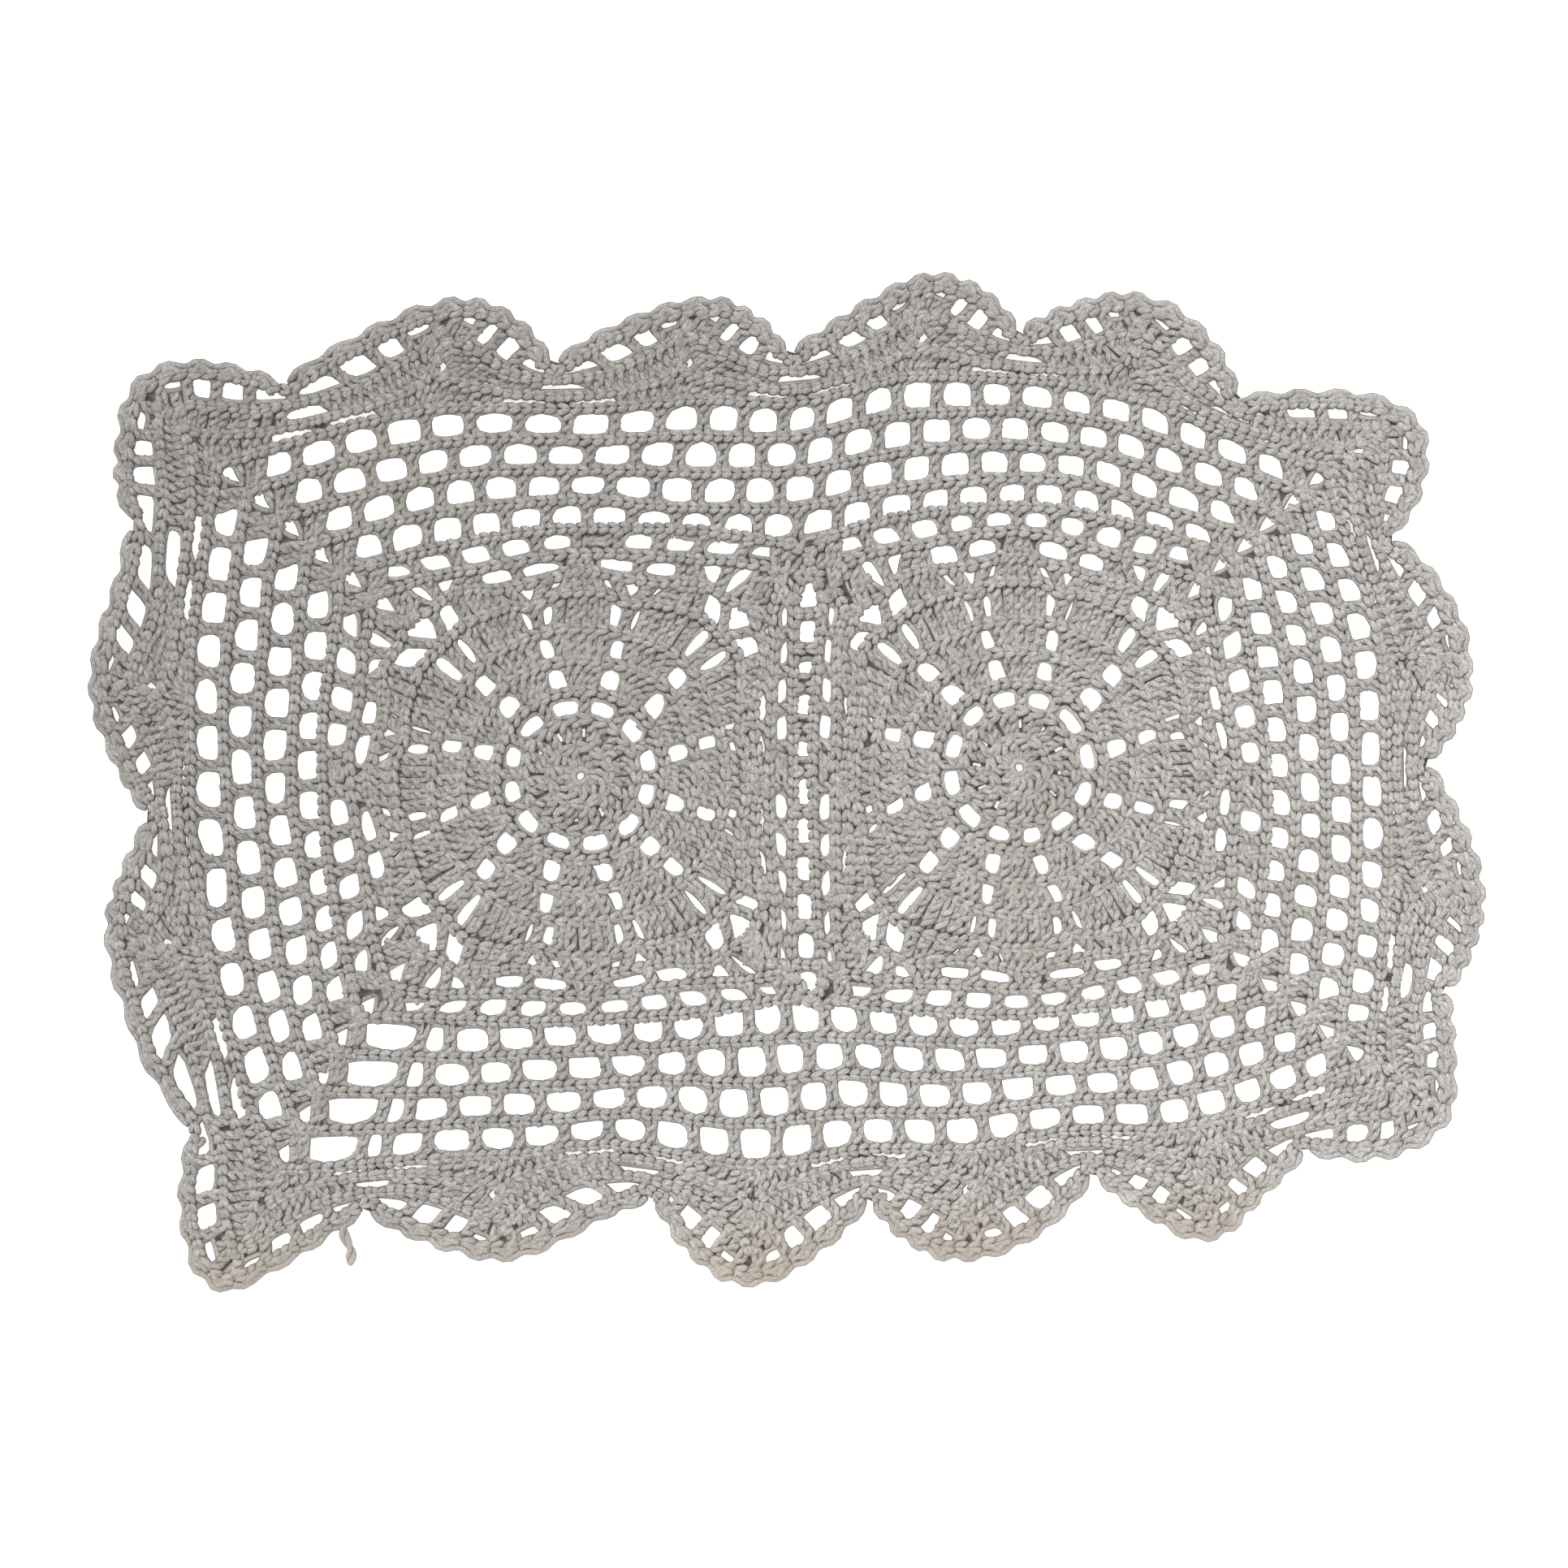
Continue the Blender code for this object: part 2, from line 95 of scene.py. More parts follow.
# Clockwise, from the fan at the top left corner
FANS = (
    Fan(-99.2 + 48.8j, -118.5 + 66.0j, -140.5 + 87.5j, -108.2 + 86.2j, 3.4, 3.9, 0.0),
    Fan(-61.0 + 56.0j, -72.5 + 77.0j, -71.4 + 105.0j, -49.9 + 90.9j, 1.5, 3.6, 1.4),
    Fan(-20.1 + 55.5j, -22.0 + 78.4j, -18.2 + 104.8j, 1.0 + 92.8j, 1.8, 3.0, 2.8),
    Fan(25.3 + 59.6j, 28.5 + 83.5j, 29.3 + 110.0j, 50.2 + 97.5j, 0.6, 3.6, 0.0),
    Fan(61.5 + 61.2j, 71.2 + 80.3j, 75.5 + 106.2j, 97.6 + 83.2j, 1.6, 4.3, 0.5),
    Fan(98.1 + 50.7j, 113.4 + 64.8j, 136.0 + 81.0j, 130.5 + 53.1j, 2.2, 4.5, 0.0),
    Fan(104.3 + 19.8j, 124.7 + 25.7j, 148.0 + 24.5j, 138.2 + 4.4j, 3.8, 2.1, 0.6),
    Fan(105.5 - 11.9j, 126.0 - 19.6j, 150.6 - 24.0j, 142.5 - 44.7j, 1.8, 1.6, 0.0),
    Fan(103.7 - 43.0j, 122.1 - 57.5j, 143.5 - 73.0j, 112.0 - 79.2j, 0.8, 4.4, 0.0),
    Fan(69.6 - 48.9j, 83.8 - 70.2j, 92.2 - 99.6j, 66.4 - 84.1j, 0.2, 3.0, 2.2),
    Fan(31.0 - 51.8j, 38.1 - 74.6j, 38.9 - 103.0j, 18.5 - 89.7j, 3.8, 3.2, 1.9),
    Fan(-6.4 - 50.7j, -6.4 - 77.5j, -8.1 - 109.2j, -28.5 - 89.3j, 2.4, 2.9, 2.8),
    Fan(-53.7 - 54.3j, -61.6 - 76.1j, -59.5 - 103.2j, -89.9 - 92.3j, 0.7, 1.6, 0.0),
    Fan(-94.5 - 54.0j, -106.6 - 79.0j, -123.0 - 111.6j, -127.4 - 74.9j, 0.8, 4.6, 0.0),
    Fan(-99.4 - 21.6j, -120.6 - 32.8j, -146.8 - 32.6j, -135.5 - 9.9j, 2.2, 2.0, 0.8),
    Fan(-101.6 + 13.1j, -124.1 + 19.1j, -150.3 + 20.0j, -139.6 + 53.6j, 1.4, 0.9, 0.0),
)

# The sides of the mesh, each with its fans and with the shares of the side at which they stand
BORDER = (
    Border("top", 21, (0, 1, 2, 3, 4, 5), (0, 5 / 26, 10 / 26, 16 / 26, 21 / 26, 1)),
    Border("right", 10, (5, 6, 7, 8), (0, 5 / 15, 10 / 15, 1)),
    Border("bottom", 21, (8, 9, 10, 11, 12, 13), (0, 5 / 26, 10 / 26, 15 / 26, 21 / 26, 1)),
    Border("left", 10, (13, 14, 15, 0), (0, 5 / 15, 10 / 15, 1)),
)

# The middle line of the loose end
TAIL = (-94.4 - 93.5j, -94.5 - 97.0j, -92.9 - 100.4j, -93.2 - 103.2j)

# Yarn: radius of a strand, how far the strands of a post and of a link lie from their middle
STRAND_RADIUS = 0.64
STRAND_WIDE = 1.14
STRAND_FLAT = 0.9
STRAND_SIDES = 5
PLY_TWIST = 0.85
POST_OPENING = 0.56
LINK_OPENING = 0.74
MIDDLE_HEIGHT = 1.2
BRAID_HEIGHT = 1.42
GROUND_LOW = 0.95
GROUND_HIGH = 1.25

# How much of a cell its posts and its chains fill, the strand round each hole, and how far
# outside the hole the ground ends
POST_WIDTH = 2.9
CHAIN_WIDTH = 2.9
EDGE_RADIUS = 0.55
EDGE_HEIGHT = 1.1
GROUND_UNDER_EDGE = 0.3


def unit(z):
    """A millimetre the way that z points."""
    return z / np.maximum(abs(z), 1e-9)


def limited(value):
    """The value, held between nothing and one."""
    return min(1.0, max(0.0, value))


def bell(distance, width):
    """One in the middle, and next to nothing two widths from it."""
    return np.exp(-((distance / width) ** 2))


def mix(start, end, share):
    """The point at this share of the way from start to end."""
    return start + (end - start) * share


def powered(place, power):
    """A power of a place between -1 and 1 that keeps its sign."""
    return math.copysign(abs(place) ** power, place)


def square_to(way, like):
    """Square to a way, on the side to which another way points."""
    square = 1j * way
    return -square if (square * np.conj(like)).real < 0 else square


def stretch(knots, share):
    """Which of the stretches between the knots this share lies in."""
    first = 0
    while first < len(knots) - 2 and share > knots[first + 1]:
        first += 1
    return first


def through(points, knots, share):
    """The point at this share of a smooth curve that passes each point at its own knot."""
    first = stretch(knots, share)
    length = knots[first + 1] - knots[first]
    t = (share - knots[first]) / length
    slopes = []
    for index in (first, first + 1):
        before = max(index - 1, 0)
        after = min(index + 1, len(points) - 1)
        slopes.append((points[after] - points[before]) / (knots[after] - knots[before]))
    start = points[first] * (2 * t**3 - 3 * t**2 + 1) + slopes[0] * length * (t**3 - 2 * t**2 + t)
    end = points[first + 1] * (3 * t**2 - 2 * t**3) + slopes[1] * length * (t**3 - t**2)
    return start + end


def side_point(side, share):
    """A point on the last round of a motif, from the start of this side to its end."""
    bow = 4 * share * (1 - share)
    ends = side.start * (1 - share) * (1 - 2 * share) + side.end * share * (2 * share - 1)
    return ends + side.middle * bow


def corner_point(side, after):
    """Where the last round turns from one side of a motif to the next."""
    return (side_point(side, 1.0) + side_point(after, 0.0)) / 2


def outer_line_point(side, share, away=LAST_ROUND_HALF_WIDTH):
    """A point this far outside the middle line of a motif's last round."""
    point = side_point(side, share)
    return point + unit(point - MOTIF_CENTRE[side.motif]) * away


def inner_line_point(side, share, further=0.0):
    """A point of the eighth round's heads, which sag a little towards both ends of a side."""
    dip = 0.0 if side.side == "join" else INNER_LINE_DIP * math.sin(2 * math.pi * share) ** 2
    return outer_line_point(side, share, -INNER_LINE_DROP[side.side] - dip - further)


def reach_of(motif):
    """Every 15 degrees, how far the last round lies from the centre and how far it is turned."""
    centre = MOTIF_CENTRE[motif]
    sides = [side for side in SIDES if side.motif == motif]
    reach = []
    for quarter, side in enumerate(sides):
        for turn in (-30, -15, 0, 15, 30, 45):
            share = 0.5 + LEAF_STEPS.get(turn, 0.0) / STEPS_ON_SIDE
            arm = inner_line_point(side, share) - centre
            drop = 0.0
            if turn == 45:
                arm = corner_point(side, sides[(quarter + 1) % 4]) - centre
                drop = CORNER_LINE_DROP
            turned = (np.degrees(np.angle(arm)) - 90 * quarter - turn + 180) % 360 - 180
            reach.append((abs(arm) - drop, turned))
    return np.array(reach)


REACH = {motif: reach_of(motif) for motif in MOTIF_CENTRE}

# How far the inner rounds of each motif are turned, in degrees: the mean, then how it varies
# once and twice round the motif
INNER_TURN = {"left": (-2.8, 0.0, 0.0, 1.3, -2.2), "right": (-4.3, -2.0, 1.2, -1.5, 2.0)}
TURNED_UP_TO = 30.0
TURNED_FULLY_UP_TO = 15.5


def inner_turn(motif, radius, angle):
    """How far the inner rounds are turned at this place, in degrees."""
    a = math.radians(angle)
    waves = (1.0, math.cos(a), math.sin(a), math.cos(2 * a), math.sin(2 * a))
    turn = sum(size * wave for size, wave in zip(INNER_TURN[motif], waves))
    return turn * limited((TURNED_UP_TO - radius) / (TURNED_UP_TO - TURNED_FULLY_UP_TO))


def motif_point(motif, radius, angle):
    """The point of a motif at this radius and angle of its chart, once it is squared off."""
    place = (angle + 30) % 360 / 15
    before = int(place) % 24
    t = place - int(place)
    a, b, c, d = (REACH[motif][(before + step) % 24] for step in (-1, 0, 1, 2))
    rise = (c - a) * t + (a * 2 - b * 5 + c * 4 - d) * t**2 + (b * 3 - a - c * 3 + d) * t**3
    edge, turn = b + rise / 2
    beyond = max(0.0, (radius - ROUND_RADIUS) / (SQUARE_RADIUS - ROUND_RADIUS))
    arm = radius + (edge - SQUARE_RADIUS) * beyond ** (2.0 if edge > SQUARE_RADIUS else 1.0)
    turned = angle + turn * min(1.0, (radius / SQUARE_RADIUS) ** 2)
    turned += inner_turn(motif, radius, angle)
    return MOTIF_CENTRE[motif] + cmath.rect(arm, math.radians(turned))


# How far the first mesh rounds lie from an even spacing, at every tenth of a side, in
# millimetres outward and along the side. It fades to nothing at a round, over some rounds.
SWAY_OUT = {
    "top": (-0.2, -0.5, 0.0, 2.1, -0.6, -1.9, -0.4, 0.9, 0.4, -1.2, 0.0),
    "right": (0.0, -0.2, 0.3, 0.4, 0.4, 0.7, 0.9, -0.2, -1.1, -1.3, 0.0),
    "bottom": (0.0, -0.4, 0.1, 1.1, -0.3, -1.0, 0.3, 0.4, 0.0, 0.9, -0.5),
    "left": (0.0, -0.4, -0.5, -0.4, 0.0, 1.2, 0.8, -0.5, -1.0, -0.3, 0.0),
}
SWAY_ALONG = {
    "top": (0.0, 1.4, 0.5, -0.2, -0.1, 0.1, 0.0, -0.2, -0.2, -0.8, 0.0),
    "right": (0.0, 1.2, 0.9, 0.4, 0.2, 0.2, -0.1, -0.4, -1.1, -1.1, 0.0),
    "bottom": (0.0, 1.4, 0.5, 0.1, 0.0, 0.0, -0.8, -1.4, -0.2, 0.0, 0.0),
    "left": (0.0, 1.6, 1.2, 0.7, 0.2, -0.3, -0.6, -0.8, -0.9, -1.1, 0.0),
}
SWAY_PLACES = (0.0, 0.1, 0.2, 0.3, 0.4, 0.5, 0.6, 0.7, 0.8, 0.9, 1.0)
SWAY_OUT_FADE = (4.3, 3.3)
SWAY_ALONG_FADE = (4.45, 1.4)


def border_point(border, share, mesh_round):
    """A point of the mesh at this share of a side. Whole rounds run through the gaps."""
    fans = [FANS[index] for index in border.fans]
    inner = through([fan.inner for fan in fans], border.shares, share)
    outer = through([fan.base for fan in fans], border.shares, share)
    first = stretch(border.shares, share)
    step = border.shares[first + 1] - border.shares[first]
    sink = fans[first].dip * math.sin(math.pi * (share - border.shares[first]) / step) ** 2
    outer += unit(inner - outer) * sink
    outward = unit(outer - inner)
    rounds = LAST_MESH_ROUND - FIRST_MESH_ROUND
    point = mix(inner, outer, (mesh_round - FIRST_MESH_ROUND) / rounds)
    ways = ((outward, SWAY_OUT, SWAY_OUT_FADE), (-1j * outward, SWAY_ALONG, SWAY_ALONG_FADE))
    for way, sway, (still, over) in ways:
        size = np.interp(share, SWAY_PLACES, sway[border.side])
        point = point + way * size * limited((still - mesh_round) / over)
    return point


# Places where the cloth is drawn out of the even chart: the place, how far and which way it is
# drawn, and how wide the drawn spot is, in millimetres
PULLS = (
    (18 + 27j, -1.1 + 2.4j, 9.0),
    (-9 + 29j, 1.2 + 2.4j, 9.0),
    (-24 + 35j, 1.6 + 0.4j, 9.0),
    (4 + 10j, 0.0 + 1.6j, 7.0),
    (24 - 32j, -2.2 - 0.3j, 9.0),
    (-12 - 26j, 1.8 + 0.3j, 9.0),
    (-66 - 32j, -1.6 - 0.9j, 10.0),
    (-48 - 40j, -1.1 + 0.2j, 8.0),
    (84 - 18j, -1.2 - 1.5j, 9.0),
    (82 - 6j, -0.2 - 1.2j, 8.0),
    (72 + 46j, 0.2 - 1.6j, 9.0),
    (54 - 38j, -1.5 + 0.1j, 8.0),
    (-48 + 41j, 1.4 + 0.5j, 8.0),
    (-90 + 6j, -0.8 + 1.2j, 9.0),
    (-72 - 8j, -1.2 - 0.9j, 9.0),
    (-24 + 20j, 0.4 + 1.6j, 8.0),
    (-78 + 27j, 0.6 + 1.6j, 7.0),
    (-140 + 58j, -1.5 + 3.2j, 9.0),
    (-133 - 8j, -2.0 + 3.0j, 9.0),
    (-131 - 58j, -2.0 + 1.4j, 9.0),
    (-119 - 69j, -1.8 - 0.8j, 7.0),
    (-42 - 92j, 1.6 + 2.2j, 9.0),
    (79 - 93j, -0.6 + 2.0j, 8.0),
    (-78 - 81j, -2.0 - 0.4j, 8.0),
    (84 + 94j, 1.3 - 1.2j, 8.0),
    (138 - 56j, 0.4 + 1.8j, 8.0),
)


def drift(z):
    """The unevenness of handwork: each point of the chart lies a little off its place."""
    x = np.real(z)
    y = np.imag(z)
    across = 0.12 * np.sin(0.31 * x + 0.17 * y + 1.0) + 0.10 * np.sin(0.83 * y - 0.41 * x + 0.4)
    up = 0.12 * np.sin(0.27 * y - 0.19 * x + 2.1) + 0.10 * np.sin(0.77 * x + 0.35 * y + 1.7)
    moved = z + across + 1j * up
    for place, way, width in PULLS:
        moved = moved + way * bell(abs(z - place), width)
    return moved


strands = {}
gaps = []


def strand(piece, line, height, radius=STRAND_RADIUS, tone=None, ends=0.6):
    """Keeps one strand of yarn for a piece: its middle line, heights, radii and shade."""
    line = drift(np.asarray(line))
    thick = np.ones(len(line)) * radius * rng.uniform(0.94, 1.06)
    thick[0] *= ends
    thick[-1] *= ends
    shade = rng.uniform(-1, 1) if tone is None else tone
    strands.setdefault(piece, []).append((line, np.asarray(height, float), thick, shade))


def near_shade(shade):
    """The shade of one strand of a stitch that has this shade."""
    return shade * 0.5 + rng.uniform(-0.5, 0.5)


POST_POINTS = 5
WRAP_POINTS = 4
# A post this long has its yarn thrown over it twice. The throws share this part of its length.
TWICE_WRAPPED = 6.2
WRAPPED_FROM = 0.26
WRAPPED_LENGTH = 0.62


def post(piece, foot, head, foot_width=1.0, overrun=0.9, into=0.35, plump=1.0):
    """One tall stitch: two legs side by side, and the yarn thrown over them on the slant."""
    along = unit(head - foot)
    start = foot - along * overrun
    end = head + along * into
    share = np.linspace(0, 1, POST_POINTS)
    swing = np.sin(math.pi * share)
    near_foot = bell(share, 0.25)
    near_head = bell(1 - share, 0.25)
    bend = rng.uniform(-0.25, 0.25) * swing
    lean = rng.uniform(-0.3, 0.3)
    shade = rng.uniform(-1, 1)
    opening = POST_OPENING * plump * (1.0 + (foot_width - 1.0) * near_foot + 0.15 * near_head)
    for hand in (-1, 1):
        side = hand * opening + bend + hand * 0.1 * np.sin(2 * math.pi * share + lean * 9)
        height = MIDDLE_HEIGHT - 0.1 + hand * lean * swing + 0.45 * near_foot - 0.25 * near_head
        line = mix(start, end, share) + 1j * along * side
        strand(piece, line, height, STRAND_RADIUS * plump, near_shade(shade))
    wraps = 2 if abs(end - start) > TWICE_WRAPPED else 1
    steps = np.linspace(-1, 1, WRAP_POINTS)
    for number in range(wraps):
        spot = (number + 0.5 + rng.uniform(-0.12, 0.12)) / wraps * WRAPPED_LENGTH + WRAPPED_FROM
        middle = mix(start, end, spot) + 1j * along * bend.mean()
        reach = (1.0 + rng.uniform(-0.1, 0.1)) * (0.75 + 0.25 * foot_width) * plump
        rise = rng.uniform(0.75, 1.25)
        onward = steps * rise + 0.15 * steps**3
        line = middle + along * (onward - 1j * reach * np.sin(steps * 1.4))
        height = MIDDLE_HEIGHT + 0.62 - 0.75 * steps**2
        strand(piece, line, height, tone=near_shade(shade))


# The links of a braid: their length, and how far out, how high and how thick their two strands
# are at four places along them
LINK_POINTS = 4
LINK_LENGTH = 2.4
LINK_SIDE = np.array((0.02, 0.5, 0.95, 1.0))
LINK_RISE = np.array((-0.30, 0.30, 0.34, -0.40))
LINK_THICK = np.array((0.7, 1.05, 1.1, 0.75))


def link(piece, start, end, height, opening):
    """One V of a braid, pointing the way the round is worked."""
    along = unit(end - start) * np.exp(1j * rng.uniform(-0.12, 0.12))
    length = abs(end - start)
    first = start - along * 0.12 * length
    last = end - along * 0.02 * length
    share = np.linspace(0, 1, LINK_POINTS)
    shade = rng.uniform(-1, 1)
    for hand in (-1, 1):
        side = hand * opening * LINK_SIDE * rng.uniform(0.9, 1.12)
        line = mix(first, last, share) + 1j * along * side
        rise = height + LINK_RISE + 0.08 * hand
        tone = shade * 0.6 + rng.uniform(-0.4, 0.4)
        strand(piece, line, rise, STRAND_RADIUS * LINK_THICK, tone, 1.0)


def braid(piece, points, closed=False, height=BRAID_HEIGHT, opening=LINK_OPENING):
    """A row of links along these points, as many between each two as the yarn makes."""
    points = list(points)
    if closed:
        points.append(points[0])
    for start, end in zip(points, points[1:]):
        count = max(1, round(abs(end - start) / LINK_LENGTH))
        for step in range(count):
            a = mix(start, end, step / count)
            b = mix(start, end, (step + 1) / count)
            link(piece, a, b, height + rng.uniform(-0.06, 0.06), opening)


def gap(corners, along=POST_WIDTH, across=CHAIN_WIDTH, least=0.7, piece=None):
    """Keeps a hole of the ground: a rounded shape in a cell of four corners, feet first.

    The yarn of the stitches round the hole is drawn together along its edge, so the hole gets
    a strand of its own there, and the ground ends under that strand.
    """
    a, b, c, d = corners
    width = (abs(b - a) + abs(c - d)) / 2
    height = (abs(d - a) + abs(c - b)) / 2
    slant = abs(((c - a) * np.conj(d - b)).imag) / (2 * width * height)
    width *= max(slant, 0.5)
    height *= max(slant, 0.5)
    if width - along < least or height - across < least:
        return
    left_low, right_low = rng.uniform(0.35, 0.75, 2)
    left_high, right_high = rng.uniform(0.6, 0.95, 2)
    shape = []
    rounded = ((-1, -1, left_low), (1, -1, right_low), (1, 1, right_high), (-1, 1, left_high))
    for x, y, bend in rounded:
        beside = (x, y * (1 - bend))
        under = (x * (1 - bend), y)
        between = (x * (1 - 0.29 * bend), y * (1 - 0.29 * bend))
        turn = [beside, between, under]
        shape += turn if x * y > 0 else turn[::-1]
    shape = np.array(shape)

    def loop(out):
        x = shape[:, 0] * (1 - (along - 2 * out) / width)
        y = shape[:, 1] * (1 - (across - 2 * out) / height)
        return mix(mix(a, b, (1 + x) / 2), mix(d, c, (1 + x) / 2), (1 + y) / 2)

    gaps.append(drift(loop(GROUND_UNDER_EDGE)))
    if piece is None:
        return
    line = loop(EDGE_RADIUS * 0.95)
    line = np.append(line, line[0])
    waves = np.sin(np.arange(len(line)) * 1.9 + rng.uniform(0, 6))
    strand(piece, line, EDGE_HEIGHT + 0.12 * waves, EDGE_RADIUS, ends=1.0)


# The rounds of a motif, between one leaf axis and the next. Radii in millimetres, angles in
# degrees from the leaf axis, each post as (angle of its foot, angle of its head).
LEAF_AXES = range(0, 360, 30)
CENTRE_RING = 1.5
FIRST_ROUND = (1.6, 6.3)
SECOND_ROUND = (6.4, 12.2)
THIRD_ROUND = (12.3, 18.3)
FOURTH_TO_EIGHTH_ROUND = (
    (18.3, 24.9, ((-4.2, -8.3), (-1.4, -2.9), (1.4, 2.9), (4.2, 8.3))),
    (24.9, 31.6, ((-8.2, -10.0), (-4.1, -5.0), (0.0, 0.0), (4.1, 5.0), (8.2, 10.0))),
    (31.6, 39.6, ((-8.0, -7.0), (-4.0, -3.5), (0.0, 0.0), (4.0, 3.5), (8.0, 7.0))),
    (39.6, 44.9, ((-5.6, -2.9), (-1.9, -1.0), (1.9, 1.0), (5.6, 2.9))),
    (44.9, 48.4, ((-2.8, -1.3), (0.0, 0.0), (2.8, 1.3))),
)
# The posts of a leaf are plumper where they stand further apart than this
FULL_POST = 2.3
# The loops between the leaves in the sixth round: their top on the axis, along a side and at a
# corner, and the angle of their side at the top
GAP_AXIS_TOP = (37.9, 38.4)
GAP_SIDE_TOP = 7.04
# The arms of the seventh round, that spring from a loop: where they end, along a side and at a
# corner, where the second pair of them starts and ends, and the chain between them
ARM_HEAD = ((43.4, 5.0), (43.2, 4.6))
ARM_FOOT = 0.9
SECOND_ARM = (2.4, 7.4)
SECOND_ARM_RISE = 0.8
ARM_MIDDLE = (43.4, 44.0)
# Where the two motifs meet the rounds are pressed together, and the seventh has no middle hole
JOIN_AXIS = {"left": 0, "right": 180}
PRESSED_FOOT = 40.2
# The leaves beside a corner lean towards it from the seventh round on, in degrees
LEAF_LEAN = (0.0, 2.2, -2.2)
# How much the posts narrow the holes beside a leaf in the seventh round: most of them, and a
# few wider ones, by motif, angle and side
BESIDE_LEAF = 2.5
WIDE_CELLS = {
    ("left", 45, -1): 0.7,
    ("right", 225, -1): 0.7,
    ("right", 135, -1): 1.2,
    ("left", 315, -1): 1.7,
}


def cell_at(at, *spots):
    """Points of a motif, each given as its radius and its angle."""
    return [at(radius, angle) for radius, angle in spots]


def round_middle(piece, at):
    """The first three rounds of a motif."""
    turns = np.exp(1j * np.linspace(0, 2 * math.pi, 13))
    strand(piece, at(0.0, 0.0) + CENTRE_RING * turns, np.full(13, 1.5), ends=1.0)
    gap([at(2.6, angle) for angle in (0, 90, 180, 270)], 2.0, 2.0)
    inner, outer = FIRST_ROUND
    for axis in LEAF_AXES:
        post(piece, at(inner, axis + 15), at(outer, axis + 15), 0.5, 0.0)
    braid(piece, [at(outer, axis + 15) for axis in LEAF_AXES], closed=True)

    inner, outer = SECOND_ROUND
    for axis in LEAF_AXES:
        for head, foot in ((7.5, 11.7), (22.5, 18.3)):
            post(piece, at(inner, axis + foot), at(outer, axis + head), 0.7)
    for axis in LEAF_AXES:
        feet = ((inner, axis - 10), (inner, axis + 10))
        gap(cell_at(at, *feet, (outer, axis + 7.5), (outer, axis - 7.5)), 2.3, 4.6, 0.3)
    braid(piece, [at(outer, 15 * step + 7.5) for step in range(24)], closed=True)

    inner, outer = THIRD_ROUND
    for axis in LEAF_AXES:
        post(piece, at(inner, axis), at(outer, axis), 1.1)
        feet = ((inner, axis), (inner, axis + 30))
        gap(cell_at(at, *feet, (outer, axis + 30), (outer, axis)), 3.2, piece=piece)
    braid(piece, [at(outer, 7.5 * step) for step in range(48)], closed=True)


def leaf_rounds(piece, at, motif):
    """The fourth to the eighth round, in which the leaves grow and close again."""
    for worked, (inner, outer, posts) in enumerate(FOURTH_TO_EIGHTH_ROUND, start=4):
        heads = []
        last_foot, last_head = posts[-1]
        for leaf, axis in enumerate(LEAF_AXES):
            at_corner = leaf % 3 == 1
            spread = max(
                abs(at(radius, axis + last) - at(radius, axis - last)) / (len(posts) - 1)
                for radius, last in ((outer, last_head), (inner, last_foot))
            )
            plump = min(1.5, max(1.0, spread / FULL_POST))
            foot_axis = axis + (LEAF_LEAN[leaf % 3] if worked == 8 else 0.0)
            head_axis = axis + (LEAF_LEAN[leaf % 3] if worked == 7 else 0.0)
            for foot, head in posts:
                feet = at(inner, foot_axis + foot)
                post(piece, feet, at(outer, head_axis + head), 0.85, plump=plump)
            heads += [at(outer, head_axis + head) for foot, head in posts]
            middle = axis + 15
            if worked < 6:
                feet = ((inner, axis + last_foot), (inner, axis + 30 - last_foot))
                tops = ((outer, axis + 30 - last_head), (outer, axis + last_head))
                gap(cell_at(at, *feet, *tops), piece=piece)
                heads.append(at(outer, middle))
            elif worked == 6:
                heads.append(tall_loops(piece, at, middle, at_corner))
            elif worked == 7:
                heads += arms(piece, at, motif, leaf)
            elif not at_corner:
                flat_holes(piece, at, motif, leaf)
        if worked < 8:
            braid(piece, heads, closed=True)


def tall_loops(piece, at, middle, at_corner):
    """The two loops between two leaves in the sixth round, and the post between them."""
    inner, outer, posts = FOURTH_TO_EIGHTH_ROUND[2]
    last_foot = posts[-1][0]
    top = GAP_AXIS_TOP[at_corner]
    post(piece, at(inner, middle), at(top, middle), 1.1)
    for hand in (-1, 1):
        far_foot = (inner, middle - hand * (15 - last_foot))
        far_head = (outer, middle - hand * (15 - GAP_SIDE_TOP))
        cell = cell_at(at, (inner, middle), far_foot, far_head, (top, middle))
        gap(cell, 3.6 if at_corner else 2.7, 2.9, 0.6, piece)
    return at(top, middle)


def at_join(motif, angle):
    """Whether this angle of a motif is where it meets the other."""
    return abs((angle - JOIN_AXIS[motif] + 180) % 360 - 180) < 20


